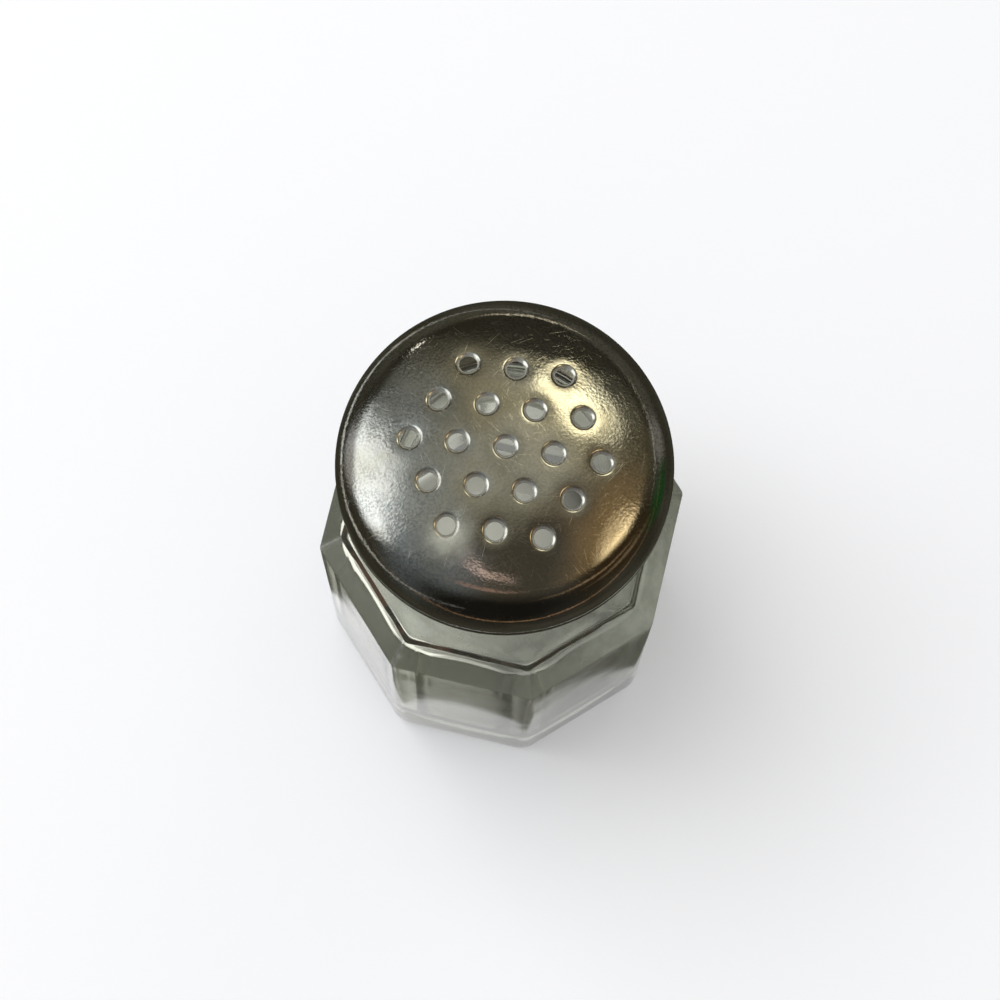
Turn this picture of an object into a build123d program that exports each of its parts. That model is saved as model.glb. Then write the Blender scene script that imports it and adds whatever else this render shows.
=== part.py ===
from build123d import *
import math
import os

# Table shaker: an eight-sided pressed-glass jar with a screw-on mushroom lid of stainless sheet.
# Millimetres. +Z is up and the origin is the centre of the base, where the jar stands.
# The octagon's flats face the X and Y axes.

SIDES = 8
ALONG_FLAT = 180 / SIDES            # turns a corner-first polygon so that its flats face the axes
FLAT_SHARE = math.cos(math.radians(ALONG_FLAT))     # flat distance / corner distance of an octagon

# ---- glass jar, outside ----
base_corner = 21.6                  # centre to a corner of the octagon at the base
widest_corner = 22.05               # the same where the body is widest
body_height = 40.2                  # base to the widest octagon
bevel_height = 3.7                  # widest octagon up to the ridge of the bevel
bevel_inset = 2.7                   # how far the bevel draws a corner in
ledge_width = 1.0                   # flat step between the ridge and the shoulder facets
shoulder_height = 8.1               # ledge up to the foot of the neck
neck_radius = 13.9
neck_height = 12.0                  # foot of the neck up to the lip
corner_round = 0.9                  # rounding of the upright corners where the body is widest
heel_corner_round = 3.2             # the same at the base, where the mould is softer
heel_round = 2.0                    # rounding where the panels meet the base
dish_radius = 13.0                  # shallow hollow under the base
dish_depth = 0.8

# ---- glass jar, inside ----
panel_wall = 2.8                    # glass thickness through a panel at the base
floor_thickness = 5.5
cavity_corner_round = 5.0
cavity_floor_round = 3.0
neck_wall = 1.7                     # glass thickness of the neck
inner_cone_start = 1.2              # the inside starts to narrow this far below the widest octagon
inner_cone_end = 3.5                # and is as narrow as the bore this far below the neck's foot
lip_round = 0.5

# ---- screw thread ----
pitch = 3.175
thread_height = 1.0                 # crest of the glass thread above the neck
thread_bead = 0.9                   # radius of the half-round glass thread
thread_land = 0.8                   # plain glass between the thread and the lip
thread_clearance = 0.25             # between the glass thread and the rolled one
glass_turns = 1.55
lid_turns = 1.35

# ---- threaded collar ----
collar_sheet = 0.4
skirt_clearance = 0.3               # glass thread crest to the inside of the skirt
skirt_depth = 10.35                 # ledge down to the edge of the skirt
edge_bead = 0.45                    # radius of the skirt's rolled edge
fold_share = 0.9                    # how far the folded edge is rounded, as a share of one sheet
roll_offset = 0.15                  # centre of the rolled groove, outside the skirt
ledge_overhang = 0.6                # the ledge stands back from the bore by this much

# ---- sealing ring ----
seal_thickness = 0.85
seal_side_clearance = 0.3           # to the skirt outside it
seal_bore_setback = 0.4             # back from the jar's bore

# ---- dome ----
dome_sheet = 0.45
hem_radius = 19.0
dome_height = 11.2                  # hem to crown
crown_curve = 38.0                  # radius of the shallow top
roll_curve = 6.0                    # radius of the rolled shoulder round it
hem_curve = 0.55                    # outside bend of the hem
hem_reach = 1.2                     # width of the hem turned under the flange
crease_height = 0.7                 # crimp above the flange
crease_depth = 0.2
crimp_clearance = 0.1               # flange to the dome's wall
hole_diameter = 2.5
hole_spacing = 5.35
hole_rings = 2                      # hexagons of holes round the middle one: 19 in all
rest_turn = 6.0                     # angle of the hole rows, in degrees, with the lid tight

# ---- levels, from the base up ----
ridge_z = body_height + bevel_height
neck_z = ridge_z + shoulder_height
lip_z = neck_z + neck_height
ledge_z = lip_z + seal_thickness
flange_z = ledge_z + collar_sheet
flange_top_z = flange_z + collar_sheet
hem_z = flange_z - dome_sheet
crown_z = hem_z + dome_height
skirt_z = ledge_z - skirt_depth

# ---- radii that follow ----
ridge_corner = widest_corner - bevel_inset
bore_radius = neck_radius - neck_wall
skirt_inside = neck_radius + thread_height + skirt_clearance
skirt_outside = skirt_inside + collar_sheet
ledge_radius = bore_radius + ledge_overhang
flange_radius = hem_radius - dome_sheet - crimp_clearance

# The lid's thread runs midway between the turns of the glass one.
glass_helix_radius = neck_radius + thread_height - thread_bead
lid_helix_radius = skirt_outside + roll_offset
helix_distance = math.hypot(pitch / 2, lid_helix_radius - glass_helix_radius)
lid_ridge = helix_distance - thread_bead - thread_clearance     # radius of the ridge inside the skirt
lid_groove = lid_ridge - collar_sheet                           # radius of the groove outside it
lid_helix_z = skirt_z + 2 * edge_bead + lid_ridge
glass_helix_top_z = lip_z - thread_land - thread_bead
lid_helix_angle = 0.0
glass_helix_z = glass_helix_top_z - glass_turns * pitch
glass_helix_angle = 360 * (glass_helix_z - (lid_helix_z + pitch / 2)) / pitch


def octagon(corner, z, rounding):
    """A level octagon, flats to the axes, with rounded corners."""
    outline = RegularPolygon(corner, SIDES, rotation=ALONG_FLAT)
    return Pos(0, 0, z) * fillet(outline.vertices(), rounding)


def turned(section):
    """Spins a section drawn as radius and height about the Z axis."""
    return revolve(Plane.XZ * section, Axis.Z)


def helical_bead(radius, helix_radius, turns, z, angle):
    """A round bead that climbs a right-hand helix and ends in two half balls."""
    path = Helix(pitch, turns * pitch, helix_radius)
    section = Plane(path @ 0, z_dir=path % 0) * Circle(radius)
    bead = sweep(section, path=path, is_frenet=True)
    bead += Pos(path @ 0) * Sphere(radius) + Pos(path @ 1) * Sphere(radius)
    return Pos(0, 0, z) * Rot(0, 0, angle) * bead


# ---- glass jar ----

def panels():
    """The body up to the ridge: eight upright panels, a rounded heel and the bevel."""
    widest = octagon(widest_corner, body_height, corner_round)
    walls = loft([octagon(base_corner, 0, heel_corner_round), widest])
    walls = fillet(walls.faces().sort_by(Axis.Z)[0].edges(), heel_round)
    return walls + loft([widest, octagon(ridge_corner, ridge_z, corner_round)])


def shoulder():
    """Facets that rise from the ledge and fade into a round cove under the neck."""
    foot_corner = ridge_corner - ledge_width / FLAT_SHARE
    facets = loft([octagon(foot_corner, ridge_z, corner_round),
                   octagon(neck_radius / FLAT_SHARE, neck_z, corner_round)])
    reach = foot_corner - neck_radius
    cove = (reach ** 2 + shoulder_height ** 2) / (2 * reach)
    outline = [Line((0, ridge_z), (foot_corner, ridge_z)),
               RadiusArc((foot_corner, ridge_z), (neck_radius, neck_z), cove),
               Line((neck_radius, neck_z), (0, neck_z)), Line((0, neck_z), (0, ridge_z))]
    return facets & turned(make_face(outline))


def neck():
    """The neck with its thread and a softened lip."""
    post = Pos(0, 0, neck_z) * Cylinder(neck_radius, neck_height, align=(Align.CENTER, Align.CENTER, Align.MIN))
    post = fillet(post.edges().sort_by(Axis.Z)[-1], lip_round)
    return post + helical_bead(thread_bead, glass_helix_radius, glass_turns, glass_helix_z, glass_helix_angle)


def cavity():
    """The inside: an octagonal well that narrows to the bore of the neck."""
    well_corner = base_corner - panel_wall / FLAT_SHARE
    well = extrude(octagon(well_corner, floor_thickness, cavity_corner_round), neck_z - floor_thickness)
    well = fillet(well.faces().sort_by(Axis.Z)[0].edges(), cavity_floor_round)
    cone_z = body_height - inner_cone_start
    envelope = Polyline((0, 0), (well_corner, 0), (well_corner, cone_z),
                        (bore_radius, neck_z - inner_cone_end), (bore_radius, neck_z), (0, neck_z), close=True)
    bore = Pos(0, 0, neck_z) * Cylinder(bore_radius, neck_height, align=(Align.CENTER, Align.CENTER, Align.MIN))
    mouth = Polyline((0, lip_z), (0, lip_z - lip_round), (bore_radius, lip_z - lip_round),
                     (bore_radius + lip_round, lip_z), close=True)
    return (well & turned(make_face(envelope))) + bore + turned(make_face(mouth))


def base_dish():
    """The shallow hollow that leaves the jar standing on a rim."""
    curve = (dish_radius ** 2 + dish_depth ** 2) / (2 * dish_depth)
    return Pos(0, 0, dish_depth - curve) * Sphere(curve)


def glass_jar():
    return panels() + shoulder() + neck() - cavity() - base_dish()


# ---- lid ----

def sealing_ring():
    """A flat plastic ring between the glass lip and the collar's ledge."""
    outside = skirt_inside - seal_side_clearance
    inside = bore_radius + seal_bore_setback
    return extrude(Pos(0, 0, lip_z) * (Circle(outside) - Circle(inside)), seal_thickness)


def collar_section():
    """Skirt, folded ledge and outward flange, as one bent strip of sheet."""
    strip = make_face(Polyline(
        (skirt_inside, skirt_z), (skirt_inside, ledge_z), (ledge_radius, ledge_z),
        (ledge_radius, flange_top_z), (flange_radius, flange_top_z), (flange_radius, flange_z),
        (skirt_outside, flange_z), (skirt_outside, skirt_z), close=True))
    fold = strip.vertices().sort_by(Axis.X)[:2]
    return fillet(fold, fold_share * collar_sheet)


def threaded_collar():
    """The skirt that screws on the neck, with its thread rolled into the sheet."""
    collar = turned(collar_section())
    collar += turned(Pos(skirt_inside + edge_bead, skirt_z + edge_bead) * Circle(edge_bead))
    core = Pos(0, 0, skirt_z) * Cylinder(skirt_outside, skirt_depth, align=(Align.CENTER, Align.CENTER, Align.MIN))
    ridge = helical_bead(lid_ridge, lid_helix_radius, lid_turns, lid_helix_z, lid_helix_angle)
    groove = helical_bead(lid_groove, lid_helix_radius, lid_turns, lid_helix_z, lid_helix_angle)
    return collar + (ridge & core) - groove


def dome_side(depth):
    """The dome's profile from the crown to the foot of its wall, this deep below the outside."""
    lean = math.asin((hem_radius - roll_curve) / (crown_curve - roll_curve))
    crown_centre = crown_z - crown_curve
    roll_centre_z = crown_centre + (crown_curve - roll_curve) * math.cos(lean)
    start = math.degrees(lean)
    wall = hem_radius - depth
    crease_z = flange_top_z + crimp_clearance + crease_height / 2
    crease_top = (wall, crease_z + crease_height / 2)
    crease_foot = (wall, crease_z - crease_height / 2)
    return [CenterArc((0, crown_centre), crown_curve - depth, 90, -start),
            CenterArc((hem_radius - roll_curve, roll_centre_z), roll_curve - depth, 90 - start, start - 90),
            Line((wall, roll_centre_z), crease_top),
            ThreePointArc(crease_top, (wall - crease_depth, crease_z), crease_foot)], crease_foot


def dome_section():
    """The dome's sheet with its crimp and the hem turned in under the flange."""
    outside, outer_foot = dome_side(0)
    inside, inner_foot = dome_side(dome_sheet)
    lip = inner_foot[0] - hem_reach
    hem = [Line(outer_foot, (hem_radius, hem_z + hem_curve)),
           RadiusArc((hem_radius, hem_z + hem_curve), (hem_radius - hem_curve, hem_z), hem_curve),
           Line((hem_radius - hem_curve, hem_z), (lip, hem_z)),
           Line((lip, hem_z), (lip, flange_z)),
           Line((lip, flange_z), (inner_foot[0], flange_z)),
           Line((inner_foot[0], flange_z), inner_foot)]
    axis = Line((0, crown_z), (0, crown_z - dome_sheet))
    return make_face(outside + hem + inside + [axis])


def hole_places():
    """A hexagonal grid: the middle hole and its rings."""
    rise = hole_spacing * math.sin(math.radians(60))
    for row in range(-hole_rings, hole_rings + 1):
        count = 2 * hole_rings + 1 - abs(row)
        for column in range(count):
            yield (column - (count - 1) / 2) * hole_spacing, row * rise


def perforated_dome():
    """The domed top with its shaking holes."""
    punches = [Pos(x, y, hem_z) * Cylinder(hole_diameter / 2, 2 * dome_height) for x, y in hole_places()]
    return turned(dome_section()) - [Rot(0, 0, rest_turn) * punch for punch in punches]


def main():
    os.makedirs("parts", exist_ok=True)
    for node in (glass_jar, sealing_ring, threaded_collar, perforated_dome):
        export_step(node(), f"parts/{node.__name__}.step")


main()
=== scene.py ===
"""Looks of a table shaker: an eight-sided pressed-glass jar under a screw-on lid of stainless sheet.

The lid is a perforated dome crimped over a collar whose skirt carries the rolled thread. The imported
model says where each piece lies. Shapes are worked out in millimetres and written in metres.
"""

import logging
import math
from collections.abc import Sequence
from dataclasses import dataclass, replace
from enum import Enum, IntEnum
from functools import reduce
from operator import or_
from typing import Any

import bpy
import numpy as np
from mathutils import Matrix, Vector
from mathutils.geometry import delaunay_2d_cdt


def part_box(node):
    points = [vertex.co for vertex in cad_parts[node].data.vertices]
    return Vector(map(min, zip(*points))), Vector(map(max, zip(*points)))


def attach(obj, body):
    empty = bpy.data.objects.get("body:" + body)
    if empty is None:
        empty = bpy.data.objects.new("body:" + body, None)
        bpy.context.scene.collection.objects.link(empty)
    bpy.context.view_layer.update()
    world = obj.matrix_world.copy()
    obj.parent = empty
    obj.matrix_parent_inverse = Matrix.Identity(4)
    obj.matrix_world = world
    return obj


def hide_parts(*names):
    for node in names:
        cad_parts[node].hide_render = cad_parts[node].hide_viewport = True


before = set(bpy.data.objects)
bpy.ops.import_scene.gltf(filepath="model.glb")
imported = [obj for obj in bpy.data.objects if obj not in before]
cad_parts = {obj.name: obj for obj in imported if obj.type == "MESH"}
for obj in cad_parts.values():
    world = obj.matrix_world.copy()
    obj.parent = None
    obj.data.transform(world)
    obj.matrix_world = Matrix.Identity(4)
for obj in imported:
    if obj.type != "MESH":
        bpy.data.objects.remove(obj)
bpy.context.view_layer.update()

log = logging.getLogger("table_shaker")

MM = 0.001
EDGE_MARK = "cut_edge"               # marks a piece's points: 1 at an edge where the sheet was cut
EDGE_HIGHLIGHT_MARK = "rubbed"               # 1 where a pale highlight is painted on the ridge and the upright corners of the glass
CREASE_SHADE_MARK = "crease_shade"                 # 1 where shade is painted in the crease inside the ridge of the glass
LIGHT_FILM_MARK = "painted_light"                  # 1 where a pale film is painted on the glass to stand in for light that the glass gathers
PITCH = 3.175                        # climb of one turn of the lid's thread, in millimetres
SIDES = 8
SIDE_ANGLE = 2 * math.pi / SIDES
HALF_SIDE = SIDE_ANGLE / 2
CIRCLE = 1.0                         # rounding of an octagon, as a share of its flat, that makes it a circle

Colour = tuple[float, float, float]
Socket = bpy.types.NodeSocket


class Body(Enum):
    """The bodies that move as one."""

    JAR = "jar"
    RING = "ring"
    LID = "lid"


class Slot(Enum):
    """The finishes that a buyer may change."""

    GLASS = "clear_glass"
    RING = "ring_plastic"
    COLLAR = "collar_steel"
    DOME = "dome_steel"


# ------------------------------------------------------------------ profiles and surfaces


@dataclass(frozen=True)
class Corner:
    """A corner of a profile.

    Attributes:
        r: distance from the axis, in millimetres. On an octagon it is that of a flat.
        z: height, in millimetres.
        fillet: radius that rounds the corner.
        step: spacing of the points on the straight run that leads to it.
        rounding: radius of the octagon's upright corners as a share of r. CIRCLE makes it round.
    """

    r: float
    z: float
    fillet: float = 0.0
    step: float = 1.0
    rounding: float = CIRCLE


def arc(centre: tuple[float, float], radius: float, start: float, end: float, steps: int) -> np.ndarray:
    """Points on a circle: centre + radius * (cos a, sin a), with a even from start to end.

    Args:
        centre: radius and height of the circle's centre.
        radius: radius of the circle.
        start: first angle in degrees, from the outward direction towards up.
        end: last angle in degrees.
        steps: number of equal steps.

    Returns:
        An array of radius and height, one row for each point.
    """
    angle = np.radians(np.linspace(start, end, steps + 1))
    return np.array(centre) + radius * np.stack([np.cos(angle), np.sin(angle)], axis=1)


def trace(corners: Sequence[Corner], arc_steps: int = 6) -> tuple[np.ndarray, np.ndarray]:
    """Walks a profile: straight runs between corners, and a tangent arc where one is rounded.

    The arc of a corner that turns by t starts and ends fillet * tan(t / 2) from it. Its points are
    centre + (sin((1-s)t) * first + sin(s t) * last) / sin t, where first and last are the arms from
    its centre to its ends.

    Args:
        corners: the corners in order.
        arc_steps: steps in each arc.

    Returns:
        The points as radius and height, and the place of each along the corners, where 2.5 is
        halfway between the third corner and the fourth.
    """
    spots = np.array([(corner.r, corner.z) for corner in corners])
    points, places = [spots[:1]], [np.zeros(1)]
    for i, corner in enumerate(corners[1:], start=1):
        here, back = spots[i], spots[i - 1] - spots[i]
        bend, bend_places = here[None], np.array([float(i)])
        if corner.fillet and i + 1 < len(corners):
            on = spots[i + 1] - here
            run_in, run_out = np.linalg.norm(back), np.linalg.norm(on)
            turn = math.acos(np.clip(-(back @ on) / (run_in * run_out), -1, 1))
            cut = corner.fillet * math.tan(turn / 2)
            first, last = here + back / run_in * cut, here + on / run_out * cut
            middle = (first + last) / 2 - here
            centre = here + middle / np.linalg.norm(middle) * corner.fillet / math.cos(turn / 2)
            s = np.linspace(0, 1, arc_steps + 1)[:, None]
            arms = np.sin((1 - s) * turn) * (first - centre) + np.sin(s * turn) * (last - centre)
            bend = centre + arms / math.sin(turn)
            bend_places = i + np.interp(s[:, 0], [0, 0.5, 1], [-cut / run_in, 0, cut / run_out])
        count = max(1, math.ceil(np.linalg.norm(bend[0] - points[-1][-1]) / corner.step))
        s = np.linspace(0, 1, count + 1)[1:-1, None]
        points += [points[-1][-1] * (1 - s) + bend[0] * s, bend]
        places += [places[-1][-1] * (1 - s[:, 0]) + bend_places[0] * s[:, 0], bend_places]
    return np.concatenate(points), np.concatenate(places)


def octagon_radius(theta: np.ndarray, flat: np.ndarray, rounding: np.ndarray) -> np.ndarray:
    """Distance from the axis to an octagon whose flats face the axes, with rounded corners.

    With p the angle from the nearest flat's middle and q the rounding radius, it is flat / cos p on
    the flat, up to tan p = (flat - q) tan(22.5) / flat. Past that it is d cos s + sqrt(q² - d² sin² s),
    where s = 22.5° - p and d = (flat - q) / cos 22.5° is how far out the corner's centre lies.

    Args:
        theta: angles about the axis, as a row.
        flat: distances from the axis to a flat, as a column.
        rounding: rounding radii, as a column.

    Returns:
        A table of distances, with a row for each flat and a column for each angle.
    """
    from_flat = np.abs((theta + HALF_SIDE) % SIDE_ANGLE - HALF_SIDE)
    on_flat = np.tan(from_flat) * np.maximum(flat, 1e-9) <= (flat - rounding) * math.tan(HALF_SIDE)
    centre = (flat - rounding) / math.cos(HALF_SIDE)
    from_corner = HALF_SIDE - from_flat
    under_root = np.maximum(rounding**2 - (centre * np.sin(from_corner)) ** 2, 0)
    return np.where(on_flat, flat / np.cos(from_flat), centre * np.cos(from_corner) + np.sqrt(under_root))


def soft_minimum(a: np.ndarray, b: np.ndarray, softness: np.ndarray | float) -> np.ndarray:
    """The smaller of a and b with the crease between them eased: -k log(exp(-a/k) + exp(-b/k))."""
    return -softness * np.logaddexp(-a / softness, -b / softness)


def smooth_step(x: np.ndarray) -> np.ndarray:
    """Rises from 0 to 1 as x does, level at both ends: 3x² - 2x³."""
    x = np.clip(x, 0, 1)
    return x * x * (3 - 2 * x)


def span(x: np.ndarray, start: float, rise: float, end: float, fall: float) -> np.ndarray:
    """1 from start to end: it rises over the width after start and falls over that before end."""
    return smooth_step((x - start) / rise) * smooth_step((end - x) / fall)


def bell(x: np.ndarray, width: np.ndarray | float) -> np.ndarray:
    """A bump of height 1 about 0: exp(-(x / width)²)."""
    return np.exp(-((x / width) ** 2))


def side_columns(per_half_side: int, crowding: float) -> np.ndarray:
    """Angles right round an octagon, crowded at its corners.

    From a flat's middle the angle is 22.5° (1 - sinh(k (1 - u)) / sinh k) as u goes from 0 to 1.

    Args:
        per_half_side: columns from a flat's middle to the next corner.
        crowding: k, how strongly the columns crowd at the corner.

    Returns:
        The angles in radians.
    """
    u = np.linspace(-1, 1, 2 * per_half_side + 1)[:-1]
    from_flat = np.sign(u) * HALF_SIDE * (1 - np.sinh(crowding * (1 - np.abs(u))) / math.sinh(crowding))
    return (np.arange(SIDES)[:, None] * SIDE_ANGLE + from_flat).ravel()


def even_columns(count: int) -> np.ndarray:
    """Evenly spaced angles right round the axis."""
    return np.arange(count) * 2 * math.pi / count


def spin(radius: np.ndarray, height: np.ndarray, theta: np.ndarray) -> np.ndarray:
    """Points at (r cos t, r sin t, z) for tables of radius and height and a row of angles."""
    radius, height, theta = np.broadcast_arrays(radius, height, theta)
    return np.stack([radius * np.cos(theta), radius * np.sin(theta), height], axis=-1).reshape(-1, 3)


def band_faces(index: np.ndarray) -> np.ndarray:
    """Faces between the rows of a table of point numbers. They face outwards where the rows climb."""
    along = np.roll(index, -1, axis=1)
    return np.stack([index[:-1], along[:-1], along[1:], index[1:]], axis=-1).reshape(-1, 4)


def pole_faces(ring: np.ndarray, pole: int, upward: bool) -> np.ndarray:
    """Triangles from a ring of points to the one in its middle.

    Args:
        ring: point numbers of the ring.
        pole: number of the one in its middle.
        upward: whether the triangles face up.

    Returns:
        A table of point numbers, three to a row.
    """
    along = np.roll(ring, -1)
    middle = np.full_like(ring, pole)
    return np.stack([middle, ring, along] if upward else [middle, along, ring], axis=-1)


def waviness(theta: np.ndarray, z: np.ndarray, seed: int, size: float, turns: int = 9) -> np.ndarray:
    """Slow unevenness: a mean of waves cos(m t + k z + phase), with m, k and phase drawn at random.

    Args:
        theta: angles about the axis.
        z: heights in millimetres.
        seed: seed of the draw.
        size: rough height of the unevenness.
        turns: most waves round the axis.

    Returns:
        The unevenness at each point, about zero.
    """
    draw = np.random.default_rng(seed)
    total = np.zeros(np.broadcast_shapes(theta.shape, z.shape))
    waves = 14
    for around, climb, phase in zip(draw.integers(0, turns, waves), draw.normal(0, 0.3, waves),
                                    draw.uniform(0, 2 * math.pi, waves)):
        total += np.cos(around * theta + climb * z + phase)
    return size * total / math.sqrt(waves)


@dataclass(frozen=True)
class Thread:
    """A right-hand screw thread of one start, in millimetres.

    Attributes:
        pitch: climb of one turn.
        turns: turns from end to end.
        foot: height of its lower end.
        angle: where that end lies, in degrees round the axis.
        depth: height of its crest over the ground.
        half_width: from the crest to the ground.
        run_out: share of a turn over which each end sinks into the ground.
    """

    pitch: float
    turns: float
    foot: float
    angle: float
    depth: float
    half_width: float
    run_out: float = 0.05

    def relief(self, theta: np.ndarray, z: np.ndarray) -> np.ndarray:
        """Height of the thread over its ground: depth * cos²(90° d / half_width) at a distance d up
        or down from the crest, eased to nothing at each end.

        Args:
            theta: angles about the axis.
            z: heights.

        Returns:
            The height over the ground at each point.
        """
        relief = np.zeros(np.broadcast_shapes(theta.shape, z.shape))
        first = ((theta - math.radians(self.angle)) / (2 * math.pi)) % 1
        for lap in range(-1, math.ceil(self.turns) + 1):
            turned = first + lap
            off = np.clip((z - self.foot - self.pitch * turned) / self.half_width, -1, 1)
            left = self.turns - turned
            ends = smooth_step(turned / self.run_out + 0.5) * smooth_step(left / self.run_out + 0.5)
            relief = np.maximum(relief, self.depth * np.cos(off * math.pi / 2) ** 2 * ends)
        return relief


def make_piece(name: str, points: np.ndarray, faces: Sequence[np.ndarray],
               sharp: float = 40.0) -> bpy.types.Object:
    """Makes a mesh object at the origin, smooth except where faces meet at more than an angle.

    Args:
        name: the piece's name.
        points: places in millimetres.
        faces: tables of point numbers, one for each number of corners.
        sharp: that angle, in degrees.

    Returns:
        The object, linked to the scene.
    """
    mesh = bpy.data.meshes.new(name)
    mesh.from_pydata((points * MM).tolist(), [], [face for table in faces for face in table.tolist()])
    mesh.shade_smooth()
    mesh.set_sharp_from_angle(angle=math.radians(sharp))
    mesh.update()
    piece = bpy.data.objects.new(name, mesh)
    bpy.context.scene.collection.objects.link(piece)
    return piece


def mark_points(piece: bpy.types.Object, name: str, marks: np.ndarray) -> None:
    """Gives each point of a piece its share of a mark, from 0 to 1, for its finish to read."""
    attribute = piece.data.attributes.new(name, "FLOAT", "POINT")
    attribute.data.foreach_set("value", marks.astype(np.float32))


# ------------------------------------------------------------------ shader trees


class Value:
    """A number that a node puts out. Python's operators on it add Math nodes."""

    def __init__(self, tree: "Tree", socket: Socket) -> None:
        """Wraps one output socket of a tree."""
        self.tree = tree
        self.socket = socket

    def maths(self, operation: str, *operands: Any) -> "Value":
        """The result of a Math node on numbers or values."""
        node = self.tree.add("ShaderNodeMath", {"operation": operation}, dict(enumerate(operands)))
        return Value(self.tree, node.outputs[0])

    def __add__(self, other: Any) -> "Value":
        """This plus another."""
        return self.maths("ADD", self, other)

    def __radd__(self, other: Any) -> "Value":
        """Another plus this."""
        return self.maths("ADD", other, self)

    def __sub__(self, other: Any) -> "Value":
        """This less another."""
        return self.maths("SUBTRACT", self, other)

    def __rsub__(self, other: Any) -> "Value":
        """Another less this."""
        return self.maths("SUBTRACT", other, self)

    def __mul__(self, other: Any) -> "Value":
        """This times another."""
        return self.maths("MULTIPLY", self, other)

    def __rmul__(self, other: Any) -> "Value":
        """Another times this."""
        return self.maths("MULTIPLY", other, self)

    def __pow__(self, other: Any) -> "Value":
        """This to the power of another."""
        return self.maths("POWER", self, other)

    def __or__(self, other: Any) -> "Value":
        """The greater of this and another."""
        return self.maths("MAXIMUM", self, other)

    def __and__(self, other: Any) -> "Value":
        """The smaller of this and another."""
        return self.maths("MINIMUM", self, other)

    def step(self, low: float, high: float) -> "Value":
        """Rises smoothly from 0 at low to 1 at high. It falls where high is the smaller.

        Args:
            low: where it is 0.
            high: where it is 1.

        Returns:
            The share.
        """
        falls = high < low
        node = self.tree.add("ShaderNodeMapRange", {"interpolation_type": "SMOOTHSTEP"},
                             {"Value": self, "From Min": min(low, high), "From Max": max(low, high),
                              "To Min": float(falls), "To Max": float(not falls)})
        return Value(self.tree, node.outputs["Result"])

    def between(self, low: float, high: float) -> "Value":
        """Low where this is 0, high where it is 1."""
        return low + (high - low) * self


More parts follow.
